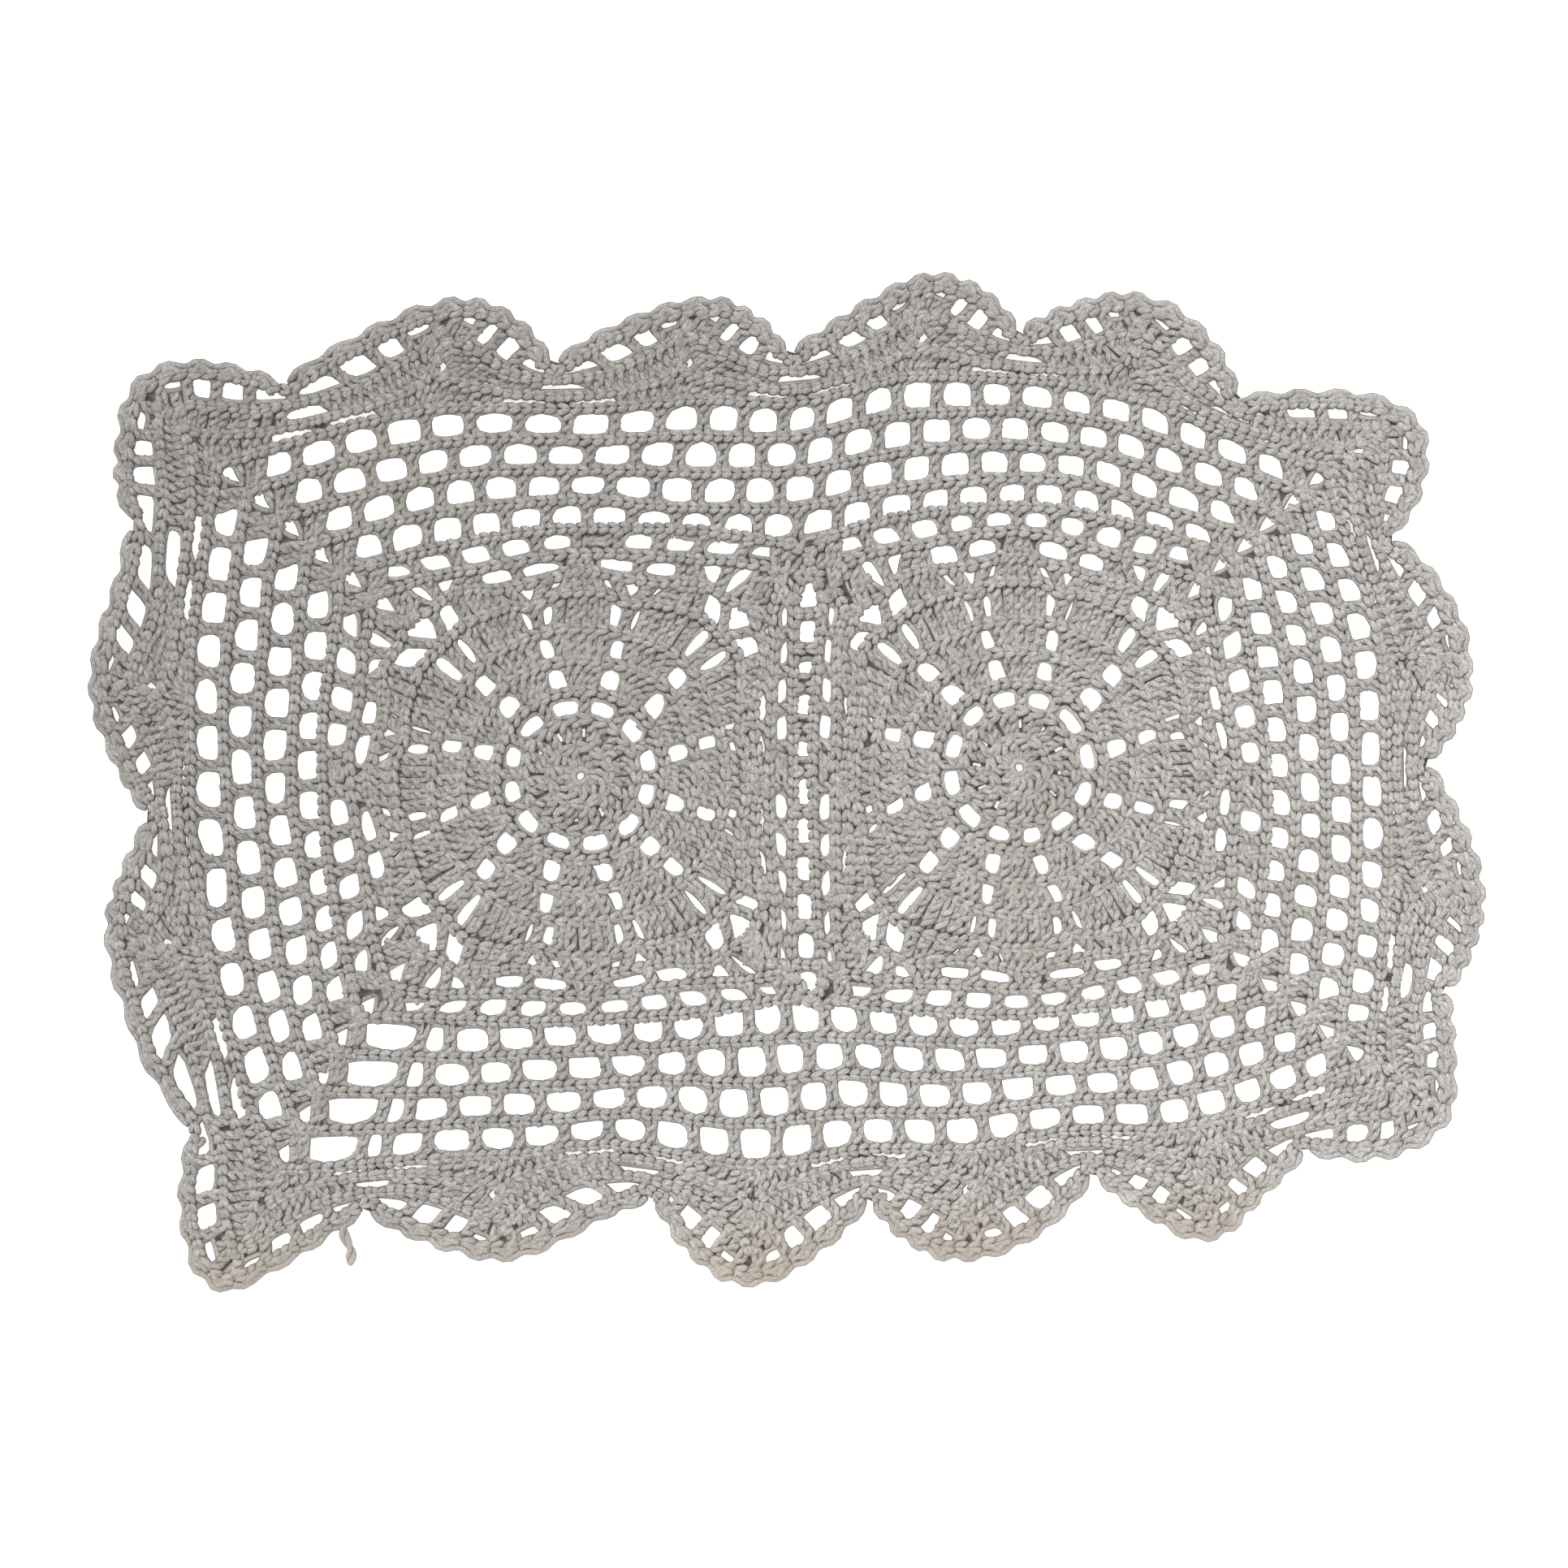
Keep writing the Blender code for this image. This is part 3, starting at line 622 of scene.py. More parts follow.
def arms(piece, at, motif, leaf):
    """The arms of the seventh round after this leaf, the holes beside them, and their heads."""
    inner, outer, posts = FOURTH_TO_EIGHTH_ROUND[3]
    last_foot, last_head = posts[-1]
    between = LEAF_AXES[leaf] + 15
    at_corner = leaf % 3 == 1
    top = GAP_AXIS_TOP[at_corner]
    radius, turn = ARM_HEAD[at_corner]
    middle = ARM_MIDDLE[at_corner]
    for hand in (-1, 1):
        arm = at(radius, between + hand * turn)
        foot = at(top, between)
        post(piece, at(top, between + hand * ARM_FOOT), arm, 0.8)
        if not at_corner:
            foot = at(inner, between + hand * SECOND_ARM[0])
            arm = at(radius + SECOND_ARM_RISE, between + hand * SECOND_ARM[1])
            post(piece, foot, arm, 0.9)
        lean = LEAF_LEAN[(leaf + (hand > 0)) % 3]
        far_foot = at(inner, between + hand * (15 - last_foot))
        far_head = at(outer, between + hand * (15 - last_head) + lean)
        width = WIDE_CELLS.get((motif, between, hand), BESIDE_LEAF)
        gap([foot, far_foot, far_head, arm], width, 2.6, 0.4, piece)
    if not at_join(motif, between):
        arm_heads = ((radius, between + turn), (middle, between), (radius, between - turn))
        gap(cell_at(at, (top, between), *arm_heads), 1.7, 1.7, 0.5, piece)
    if not at_corner:
        turn = SECOND_ARM[1]
    return cell_at(at, (radius, between - turn), (middle, between), (radius, between + turn))


def flat_holes(piece, at, motif, leaf):
    """The two holes after this leaf in the eighth round, and the post between them."""
    between = LEAF_AXES[leaf] + 15
    low, far_low = ARM_MIDDLE[0], ARM_HEAD[0][0] + SECOND_ARM_RISE
    post(piece, at(low, between), at(SQUARE_RADIUS, between), 1.1)
    if at_join(motif, between):
        low, far_low = PRESSED_FOOT, PRESSED_FOOT + 1.0
    for hand in (-1, 1):
        far = 11.0 if LEAF_LEAN[(leaf + (hand > 0)) % 3] == 0 else 14.4
        feet = ((low, between), (far_low, between + hand * far))
        tops = ((SQUARE_RADIUS, between + hand * (far + 0.4)), (SQUARE_RADIUS, between))
        gap(cell_at(at, *feet, *tops), 2.7, 2.5, piece=piece)


# Cells of the ninth round that are drawn shut, by the bar after them
CLOSED_CELLS = {
    ("left", "join"): (7,),
    ("right", "join"): (6,),
    ("left", "outer"): (6,),
    ("right", "outer"): (4, 6),
    ("left", "top"): (6,),
}
# How far outside the middle of a corner hole the braid turns, in a motif and in the mesh
MOTIF_CORNER_TIP = 3.9
MESH_CORNER_TIP = 4.2


def corner(piece, before, centre, sides, tip, has_hole=True):
    """The increase at a corner with its three-cornered hole. It gives the braid's points there.

    before and centre are the middles of the hole that it is worked in and of its own hole. Each
    side has the heads of its two posts, and the way along the side from the corner.
    """
    outward = unit(centre - before)
    flanks = []
    for near, far, away in sides:
        normal = square_to(away, outward)
        post(piece, before + 3.1 * outward - 0.5 * away, near - 0.5 * away, 0.75, 0.6, plump=1.05)
        post(piece, before + 2.5 * normal - 0.7 * away, far - 0.3 * away, 0.75, 0.6, plump=1.15)
        flanks.append(centre + 2.2 * normal + 0.9 * away)
    if has_hole:
        cell = [centre - 2.4 * outward, flanks[1], centre + 2.8 * outward, flanks[0]]
        gap(cell, 0.3, 0.3, piece=piece)
    return [sides[0][0], centre + tip * outward, sides[1][0]]


def last_rounds(piece, motif):
    """The eighth round's line and corners, and the ninth round, along the four sides."""
    sides = [side for side in SIDES if side.motif == motif]
    inner_line = []
    outer_line = []
    for quarter, side in enumerate(sides):
        after = sides[(quarter + 1) % 4]
        for bar in range(1, STEPS_ON_SIDE + 1):
            share = (bar - 0.5) / STEPS_ON_SIDE
            low = inner_line_point(side, share)
            high = outer_line_point(side, share)
            if 1 < bar < STEPS_ON_SIDE:
                post(piece, low, high, 1.05)
                inner_line.append(low)
            outer_line.append(high)
            if bar > 1 and bar not in CLOSED_CELLS.get((motif, side.side), ()):
                gap([before_low, low, high, before_high], 3.3, 2.9, piece=piece)
            before_low, before_high = low, high
        first_hole = motif_point(motif, 41.6, 45 + 90 * quarter)
        ninth = corner_point(side, after)
        eighth = mix(first_hole, ninth, 0.53)
        edges = []
        for edge, hand in ((side, -1), (after, 1)):
            start = 1.0 if hand < 0 else 0.0
            away = unit(side_point(edge, start + hand * 0.1) - side_point(edge, start))
            edges.append((edge, start, hand / STEPS_ON_SIDE, away))
        heads = []
        outer_heads = []
        for edge, start, step, away in edges:
            near = inner_line_point(edge, start + 0.62 * step, 1.6)
            heads.append((near, inner_line_point(edge, start + 0.85 * step, 1.0), away))
            near = outer_line_point(edge, start + 0.8 * step)
            outer_heads.append((near, outer_line_point(edge, start + 0.98 * step), away))
        has_hole = "join" not in (side.side, after.side)
        inner_line += corner(piece, first_hole, eighth, heads, MOTIF_CORNER_TIP, has_hole)
        outer_line += corner(piece, eighth, ninth, outer_heads, MOTIF_CORNER_TIP, has_hole)
        corner_arms(piece, motif, 45 + 90 * quarter, edges)
    braid(piece, inner_line, closed=True)
    braid(piece, outer_line, closed=True)


def corner_arms(piece, motif, angle, edges):
    """The post and the two holes on each side of a corner in the eighth round."""
    for (edge, start, step, away), hand in zip(edges, (-1, 1)):
        arm = motif_point(motif, ARM_HEAD[1][0], angle + hand * ARM_HEAD[1][1])
        leaf = motif_point(motif, 44.9, angle + hand * (11.5 - LEAF_LEAN[1]))
        tip = motif_point(motif, 45.6, angle + hand * (14.5 - LEAF_LEAN[1]))
        near = inner_line_point(edge, start + 0.62 * step, 1.0)
        middle, far = (inner_line_point(edge, start + bars * step) for bars in (1.55, 2.5))
        foot = (arm + leaf) / 2
        post(piece, foot, middle, 1.0)
        gap([arm, foot, middle, near], 2.8, 2.6, piece=piece)
        gap([foot, tip, far, middle], 2.8, 2.6, piece=piece)


# How far the mesh posts of a side are spread toward its corners, at the foot and at the head,
# and how near a corner a post may stand, in cells
FOOT_SHIFT = 0.8
HEAD_SHIFT = 0.2
NEAREST_CORNER = 0.12
# The bottom of the mesh is stretched where it meets the left side: how far the feet and the
# heads of its last posts are moved along it, from the last one, in cells
STRETCHED = {FOOT_SHIFT: (0.10, -0.50, -0.05), HEAD_SHIFT: (0.30, -0.12, 0.10)}


def mesh_share(border, bar, steps, shift):
    """The share of a mesh side at which this post stands."""
    moved = min(max(bar, 1 + NEAREST_CORNER), steps - NEAREST_CORNER)
    if border.side == "bottom" and bar > steps - 3:
        moved = bar + STRETCHED[shift][steps - bar]
    return (moved - shift) / (steps + 1 - 2 * shift)


def mesh_yarn(piece):
    """Four rounds of open mesh round the pair of motifs, each with a line of chains."""
    for mesh_round in range(FIRST_MESH_ROUND, LAST_MESH_ROUND + 1):
        line = []
        for index, border in enumerate(BORDER):
            before = border_point(border, 0.0, mesh_round - 1)
            centre = border_point(border, 0.0, mesh_round)
            sides = []
            for edge, start, hand in ((BORDER[index - 1], 1.0, -1), (border, 0.0, 1)):
                steps = edge.first_cells + mesh_round + 1
                end_bar = 1 if hand > 0 else steps
                first = hand * (mesh_share(edge, end_bar, steps, HEAD_SHIFT) - start)
                near, far, beyond, own = (
                    border_point(edge, start + hand * share, mesh_round + 0.46)
                    for share in (0.84 * first, 1.17 * first, 0.1, 0.0)
                )
                sides.append((near, far, unit(beyond - own)))
            line += corner(piece, before, centre, sides, MESH_CORNER_TIP)
            for bar in range(1, steps + 1):
                low_share = mesh_share(border, bar, steps, FOOT_SHIFT)
                high_share = mesh_share(border, bar, steps, HEAD_SHIFT)
                low = border_point(border, low_share, mesh_round - 0.5)
                high = border_point(border, high_share, mesh_round + 0.5)
                line.append(high)
                if 1 < bar < steps:
                    post(piece, low, high, 1.2, -0.4 if mesh_round == FIRST_MESH_ROUND else 0.9)
                if bar > 1:
                    gap([before_low, low, high, before_high], 2.5, 2.45, piece=piece)
                before_low, before_high = low, high
        braid(piece, line[::-1], closed=True)


# Two steps of the join have low holes. Its first steps lie higher than the even spacing, and
# the rest less so.
LOW_JOINS = (3, 5)
JOIN_RISE = (0.6, 0.38)
FIRST_STEPS = 5


def join_yarn(piece):
    """The zigzag of chains between the motifs: each bar of it lies between two of theirs."""
    left, right = (side for side in SIDES if side.side == "join")
    for step in range(1, STEPS_ON_SIDE + 1):
        rise = JOIN_RISE[step >= FIRST_STEPS]
        low = max(step - rise - 0.5, -0.4) / STEPS_ON_SIDE
        high = min(step - rise + 0.5, STEPS_ON_SIDE + 0.2) / STEPS_ON_SIDE
        below, above = (
            (side_point(left, 1 - share), side_point(right, share)) for share in (high, low)
        )
        cell = [mix(*below, 0.24), mix(*below, 0.76), mix(*above, 0.76), mix(*above, 0.24)]
        gap(cell, 1.4, 5.4 if step in LOW_JOINS else CHAIN_WIDTH, piece=piece)
        bar = [mix(*above, share) for share in (0.2, 0.8)]
        braid(piece, bar[:: 1 if step % 2 else -1], height=BRAID_HEIGHT + 0.15)


def edge_point(index, place):
    """The edge of the mesh from the foot of a fan, at 0, to halfway to its neighbour, at 1."""
    spots = [(border, border.fans.index(index)) for border in BORDER if index in border.fans]
    if index == 0:
        spots = spots[::-1]
    border, spot = spots[-1] if place > 0 else spots[0]
    share = border.shares[spot]
    other = border.shares[spot + 1 if place > 0 else spot - 1]
    return border_point(border, mix(share, other, abs(place) / 2), LAST_MESH_ROUND + 0.5)


def rim_point(index, place):
    """A point of the smooth rim of a fan, from -1 at the notch before it to 1 at the next."""
    fan = FANS[index]

    def flank(share, side):
        valley, swell = fan.valley, fan.swell_after
        if side < 0:
            valley, swell = FANS[index - 1].valley, fan.swell_before
        outward = square_to(unit(valley - fan.tip), (fan.tip + valley) / 2 - fan.base)
        return mix(fan.tip, valley, share) + outward * swell * 4 * share * (1 - share)

    if abs(place) >= TIP_ROUNDING:
        return flank(abs(place), place)
    start = flank(TIP_ROUNDING, -1)
    end = flank(TIP_ROUNDING, 1)
    t = (place / TIP_ROUNDING + 1) / 2
    return start * (1 - t) ** 2 + fan.tip * 2 * t * (1 - t) + end * t**2


def scalloped(index, place, inset, depth=1.25):
    """The rim with its small bumps, this far inside the outline of the cloth."""
    point = rim_point(index, place)
    phase = (place + 1) / 2 * BUMPS_IN_FAN
    dip = depth * (1 - abs(math.sin(math.pi * phase)) ** 1.6)
    return point - unit(point - FANS[index].base) * (dip + inset)


# The two rings of a fan inside its rim: how far from the mesh to the rim each lies, at four
# places along it, where its posts end, and how high it arches over the hole on the axis
RING_PLACES = (0.0, 0.5, 0.8, 1.0)
RING_REACH = {"a": (0.31, 0.24, 0.20, 0.24), "b": (0.63, 0.53, 0.46, 0.58)}
RINGS = (("a", 0.80, 3.9), ("b", 0.93, 2.8))
RING_OPENING = 0.62
HALF_POST_STEP = 1.75
POST_STEP = 2.35


def ring_point(index, ring, place):
    """A point of one of the rings of a fan. The last is the line of heads below the rim."""
    edge = edge_point(index, powered(place, 3))
    rim = rim_point(index, place)
    if ring == "edge":
        return edge
    if ring == "c":
        return rim - unit(rim - edge) * min(2.9, 0.45 * abs(rim - edge))
    return mix(edge, rim, np.interp(abs(place), RING_PLACES, RING_REACH[ring]))


def ring_places(index, ring):
    """The places of the posts on a ring, evenly spaced from its middle."""
    places = np.linspace(-1, 1, 241)
    points = np.array([ring_point(index, ring, place) for place in places])
    length = np.concatenate([[0.0], np.cumsum(abs(np.diff(points)))])
    length -= length[120]
    steps = np.arange(HALF_POST_STEP, 60, POST_STEP)
    offsets = np.concatenate([-steps[::-1], steps])
    offsets = offsets[(length[0] < offsets) & (offsets < length[-1])]
    return np.interp(offsets, length, places)


def over_arch(foot, arch):
    """The foot of a post moved out of the hole under the arch of the ring it is worked in."""
    middle, lift = arch
    return foot + lift * bell(abs(foot - middle), 3.0)


def fan_yarn(piece, index):
    """The three rounds of a fan and its scalloped rim."""
    fan = FANS[index]
    base = edge_point(index, 0.0)
    base = base + 0.4 * unit(fan.tip - base)
    below = "edge"
    # Where the ring below arches over the hole on the axis, and how far
    arch = (fan.base, 0.0)
    for ring, flank, rise in RINGS:
        heads = []
        for place in ring_places(index, ring):
            head = ring_point(index, ring, place)
            heads.append(head)
            if abs(place) > flank:
                continue
            foot = ring_point(index, below, powered(place, 1.0 if ring == "a" else 1.5))
            if ring == "a" and abs(place) < 0.5:
                foot = mix(base, foot, 0.9)
            width, overrun = (0.55, 0.5) if abs(place) < 0.45 else (0.85, 0.8)
            post(piece, over_arch(foot, arch), head, width, overrun)
        if ring == "a":
            for side in (-1, 1):
                cell = [ring_point(index, below, side * place) for place in (0.74, 0.97)]
                cell += [ring_point(index, ring, side * place) for place in (0.97, 0.74)]
                gap(cell, 0.6, 1.9, 0.4, piece)
        else:
            after = (index + 1) % len(FANS)
            cell = [ring_point(index, "a", 0.88), ring_point(after, "a", -0.88)]
            cell += [ring_point(after, "b", -0.90), ring_point(index, "b", 0.90)]
            gap(cell, 1.2, 2.3, 0.5, piece)
        middle = ring_point(index, ring, 0.0)
        lift = unit(middle - fan.base)
        half = len(heads) // 2
        line = [ring_point(index, ring, -1.0)] + heads[:half] + [middle + rise * lift]
        line += heads[half:] + [ring_point(index, ring, 1.0)]
        braid(piece, line[::-1], opening=RING_OPENING)
        hole = middle + (rise / 2 - 0.4) * lift
        around = [hole + (rise - 1.3) * 0.72 * lift * turn for turn in (-1.0, -1j, 1.0, 1j)]
        gap(around, 0.2, 0.2, 0.5, piece)
        below = ring
        arch = (middle, rise * lift)
    rim_round(piece, index, arch)


# How much of a hole of the rim is closed at its foot: near the tip of the fan, and elsewhere
NEAR_TIP = 0.6
CLOSED_AT_TIP = 0.45
CLOSED_ELSEWHERE = 0.14


def rim_round(piece, index, arch):
    """The last round of a fan: its posts, the holes between them, and the bumps of the rim."""
    line = []
    cells = list(np.linspace(-1, 1, BUMPS_IN_FAN + 1))
    for place, after in zip(cells, cells[1:]):
        head = ring_point(index, "c", place)
        foot = over_arch(ring_point(index, "b", powered(place, 1.25)), arch)
        post(piece, foot, head, 1.0, plump=1.1)
        line += [head, ring_point(index, "c", place + 1 / BUMPS_IN_FAN)]
        far_foot = ring_point(index, "b", powered(after, 1.25))
        far_head = ring_point(index, "c", after)
        near_tip = abs(place + after) < NEAR_TIP
        closed = CLOSED_AT_TIP if near_tip else CLOSED_ELSEWHERE
        low = mix(foot, head, closed)
        far_low = mix(far_foot, far_head, closed)
        if near_tip:
            post(piece, (foot + far_foot) / 2, (low + far_low) / 2, 0.7, 0.6)
        if abs(place + after) > 0.1:
            gap([low, far_low, far_head, head], 2.2, 1.7, 0.5, piece)
    line.append(ring_point(index, "c", 1.0))
    braid(piece, line[::-1])
    for place, after in zip(cells, cells[1:]):
        rim_bump(piece, index, place, after)


# The strands of a bump of the rim: where each starts and ends along the bump, how far inside
# the edge it is there, its height and its radius
RIM_POINTS = 6
RIM_STRANDS = (
    (-0.12, 1.12, 0.3, 0.3, 0.85, 0.75),
    (-0.15, 1.15, 2.2, 2.1, 1.0, 0.72),
    (0.08, 0.62, 2.6, 0.7, 1.25, 0.70),
    (0.95, 0.42, 2.5, 0.85, 1.2, 0.70),
)


def rim_bump(piece, index, start, end):
    """One small bump of the rim: strands that run along it, each a little further out."""
    shade = rng.uniform(-1, 1)
    for first, last, near, far, level, radius in RIM_STRANDS:
        places = np.clip(mix(start, end, np.linspace(first, last, RIM_POINTS)), -1, 1)
        insets = np.linspace(near, far, RIM_POINTS)
        line = [scalloped(index, place, inset) for place, inset in zip(places, insets)]
        height = level + 0.3 * np.sin(np.linspace(0, math.pi, RIM_POINTS))
        strand(piece, line, height, radius, near_shade(shade))


def tail_yarn(piece):
    """The loose end: one strand doubled back and twisted on itself."""
    knots = np.linspace(0, 1, len(TAIL))
    share = np.linspace(0, 1, 28)
    line = np.array([through(TAIL, knots, value) for value in share])
    along = unit(np.gradient(line))
    for hand in (0, 1):
        turn = math.pi * hand + 2 * math.pi * 1.3 * share
        side = 0.52 * np.cos(turn)
        strand(piece, line + 1j * along * side, 0.95 + 0.42 * np.sin(turn))


# The ground is searched in steps. Where no strand lies as near as the reach it is bare, and a
# loose strand fills it, as long as no other of them lies nearer than they have to be apart.
FILL_STEP = 0.9
FILL_REACH = 0.9
FILL_APART = 1.1
FILL_POINTS = 4
FILL_RADIUS = 0.66


def fill_bare_ground():
    """Loose yarn in the wide spaces between stitches, so that no flat ground is left bare."""
    tree = KDTree(sum(len(entry[0]) for kept in strands.values() for entry in kept))
    owners = []
    ways = []
    for name, kept in strands.items():
        for line, height, thick, shade in kept:
            for point, way in zip(line, unit(np.gradient(line))):
                tree.insert((point.real, point.imag, 0.0), len(owners))
                owners.append(name)
                ways.append(way)
    tree.balance()
    edge = outline_points()
    across = np.arange(edge.real.min(), edge.real.max(), FILL_STEP)
    up = np.arange(edge.imag.min(), edge.imag.max(), FILL_STEP)
    spots = (across[None, :] + 1j * up[:, None]).reshape(-1)
    spots = spots[inside(spots, edge)]
    found = [tree.find((spot.real, spot.imag, 0.0)) for spot in spots]
    spots = spots[np.array([distance > FILL_REACH for place, number, distance in found])]
    kept = np.ones(len(spots), bool)
    for loop in gaps:
        middle = loop.mean()
        near = np.flatnonzero(abs(spots - middle) < abs(loop - middle).max() * 1.3 + 0.5)
        kept[near[inside(spots[near], mix(middle, loop, 1.12))]] = False
    share = np.linspace(-1, 1, FILL_POINTS)
    thick = np.full(FILL_POINTS, FILL_RADIUS)
    filled = []
    for spot in spots[kept]:
        if any(abs(spot - other) < FILL_APART for other in filled):
            continue
        filled.append(spot)
        number = tree.find((spot.real, spot.imag, 0.0))[1]
        way = ways[number] * np.exp(1j * rng.uniform(-0.3, 0.3))
        line = spot + way * (share * 1.5 + 1j * (0.25 - 0.25 * share**2))
        strands[owners[number]].append((line, 1.15 - 0.2 * share**2, thick, rng.uniform(-1, 1)))


def outline_points():
    """The edge of the ground, a little inside the edge of the yarn."""
    places = np.linspace(-1, 1, 4 * BUMPS_IN_FAN + 1)[:-1]
    edge = [scalloped(index, place, 1.0) for index in range(len(FANS)) for place in places]
    return drift(np.array(edge))


def placed(line, height):
    """Points of the chart as places in the part, in metres."""
    line = np.asarray(line) - MIDDLE
    return np.stack([line.real, line.imag, np.asarray(height, float)], axis=-1) * MM


def tubes(lines, thick):
    """Rings of points round each of these middle lines, all of one count of points."""
    along = np.gradient(lines, axis=1)
    along /= np.linalg.norm(along, axis=2, keepdims=True)
    side = np.cross(np.broadcast_to((0.0, 0.0, 1.0), along.shape), along)
    side /= np.linalg.norm(side, axis=2, keepdims=True)
    up = np.cross(along, side)
    turns = 2 * np.pi * np.arange(STRAND_SIDES) / STRAND_SIDES
    wide = side[:, :, None] * np.cos(turns)[:, None] * STRAND_WIDE
    spoke = wide + up[:, :, None] * np.sin(turns)[:, None] * STRAND_FLAT
    return lines[:, :, None] + spoke * thick[:, :, None, None] * MM


def yarn_object(name, material):
    """One mesh of all the strands of a piece, with what its material needs at each point.

    The UV map, for baking, gives each strand a box of its own in a grid.
    """
    kept = strands[name]
    columns = math.ceil(math.sqrt(len(kept) * 1.6))
    rows = math.ceil(len(kept) / columns)
    sides = STRAND_SIDES
    points, yarn, tone, corners, starts, uv = [], [], [], [], [], []
    first_point = 0
    first_corner = 0
    first_box = 0

    def add_faces(faces, u, v):
        nonlocal first_corner
        starts.append(np.arange(first_corner, first_corner + faces.size, faces.shape[-1]))
        first_corner += faces.size
        corners.append(faces.reshape(-1))
        box = (first_box + np.arange(len(faces))).reshape(-1, *[1] * (faces.ndim - 1))
        u = (box % columns) / columns + u / columns
        v = (box // columns) / rows + v / rows
        uv.append(np.stack([u, v], axis=-1).reshape(-1, 2))

    for count in sorted({len(line) for line, height, thick, shade in kept}):
        group = [entry for entry in kept if len(entry[0]) == count]
        lines = np.array([placed(line, height) for line, height, thick, shade in group])
        rings = tubes(lines, np.array([thick for line, height, thick, shade in group]))
        points.append(rings.reshape(-1, 3))
        size = len(group)
        step = np.linalg.norm(np.diff(lines, axis=1), axis=2) / MM
        run = np.concatenate([np.zeros((size, 1)), np.cumsum(step, axis=1)], axis=1)
        run += rng.uniform(0, 400, (size, 1))
        turn = 2 * np.pi * np.arange(sides) / sides + PLY_TWIST * run[:, :, None]
        run = np.broadcast_to(run[:, :, None], turn.shape)
        yarn.append(np.stack([np.cos(turn), np.sin(turn), run], axis=-1).reshape(-1, 3))
        tone.append(np.repeat([shade for line, height, thick, shade in group], count * sides))
        # Side faces, then a cap at each end
        n, k, a = np.meshgrid(range(size), range(count - 1), range(sides), indexing="ij")
        b = (a + 1) % sides
        low = first_point + n * count * sides + k * sides
        faces = np.stack([low + a, low + b, low + sides + b, low + sides + a], axis=-1)
        u = 0.1 + 0.8 * np.stack([k, k, k + 1, k + 1], axis=-1) / (count - 1)
        v = 0.08 + 0.84 * np.stack([a, a + 1, a + 1, a], axis=-1) / sides
        add_faces(faces, u, v)
        for end, order, middle in ((0, -1, 0.045), (count - 1, 1, 0.955)):
            around = np.arange(sides)[::order]
            caps = first_point + np.arange(size)[:, None] * count * sides + end * sides + around
            angle = np.broadcast_to(2 * np.pi * around / sides, caps.shape)
            add_faces(caps, middle + 0.03 * np.cos(angle), 0.5 + 0.3 * np.sin(angle))
        first_point += size * count * sides
        first_box += size

    mesh = bpy.data.meshes.new(name)
    mesh.vertices.add(first_point)
    mesh.vertices.foreach_set("co", joined(points))
    mesh.loops.add(first_corner)
    mesh.loops.foreach_set("vertex_index", joined(corners, np.int32))
    starts = joined(starts, np.int32)
    mesh.polygons.add(len(starts))
    mesh.polygons.foreach_set("loop_start", starts)
    mesh.polygons.foreach_set("use_smooth", np.ones(len(starts), bool))
    mesh.update(calc_edges=True)
    mesh.attributes.new("yarn", "FLOAT_VECTOR", "POINT").data.foreach_set("vector", joined(yarn))
    mesh.attributes.new("tone", "FLOAT", "POINT").data.foreach_set("value", joined(tone))
    mesh.uv_layers.new(name="OFBake").uv.foreach_set("vector", joined(uv))
    return linked(name, mesh, material)


def joined(parts, kind=np.float32):
    """These arrays as one flat row of numbers."""
    return np.concatenate(parts).astype(kind).reshape(-1)


def linked(name, mesh, material):
    """An object of this mesh and material in the scene."""
    mesh.materials.append(material)
    made = bpy.data.objects.new(name, mesh)
    bpy.context.scene.collection.objects.link(made)
    return made


def inside(points, loop):
    """Which of these points lie inside a closed loop."""
    found = np.zeros(len(points), bool)
    for a, b in zip(loop, np.roll(loop, -1)):
        crosses = (a.imag > points.imag) != (b.imag > points.imag)
        if crosses.any():
            level = (points.imag - a.imag) / (b.imag - a.imag if b.imag != a.imag else 1e-9)
            found ^= crosses & (points.real < a.real + level * (b.real - a.real))
    return found


# The sheet's dark material is painted shade, for the yarn deep between the stitches
def ground_object(name, material):
    """The thin sheet that the stitches lie on, with every hole of the lace cut through it."""
    outline = outline_points()
    flat = []
    edges = []
    for loop in [outline] + gaps:
        first = len(flat)
        flat += [Vector((point.real, point.imag)) for point in loop]
        edges += [(first + step, first + (step + 1) % len(loop)) for step in range(len(loop))]
    points, _, faces, _, _, _ = delaunay_2d_cdt(flat, edges, [], 0, 1e-4)
    spots = np.array([complex(point.x, point.y) for point in points])
    faces = np.array([face for face in faces if len(face) == 3])
    middles = spots[faces].mean(axis=1)
    kept = inside(middles, outline)
    for loop in gaps:
        near = np.flatnonzero(abs(middles - loop.mean()) < abs(loop - loop.mean()).max() + 0.01)
        kept[near[inside(middles[near], loop)]] = False
    form = bmesh.new()
    corners = [form.verts.new(point) for point in placed(spots, np.full(len(spots), GROUND_LOW))]
    for face in faces[kept]:
        form.faces.new([corners[corner] for corner in face])
    bmesh.ops.delete(form, geom=[v for v in form.verts if not v.link_faces], context="VERTS")
    bmesh.ops.dissolve_limit(form, angle_limit=0.001, verts=form.verts, edges=form.edges)
    bmesh.ops.triangulate(form, faces=form.faces)
    extruded = bmesh.ops.extrude_face_region(form, geom=form.faces[:])
    moved = [item for item in extruded["geom"] if isinstance(item, bmesh.types.BMVert)]
    bmesh.ops.translate(form, verts=moved, vec=(0.0, 0.0, (GROUND_HIGH - GROUND_LOW) * MM))
    bmesh.ops.recalc_face_normals(form, faces=form.faces)
    mesh = bpy.data.meshes.new(name)
    form.to_mesh(mesh)
    form.free()
    return linked(name, mesh, material)


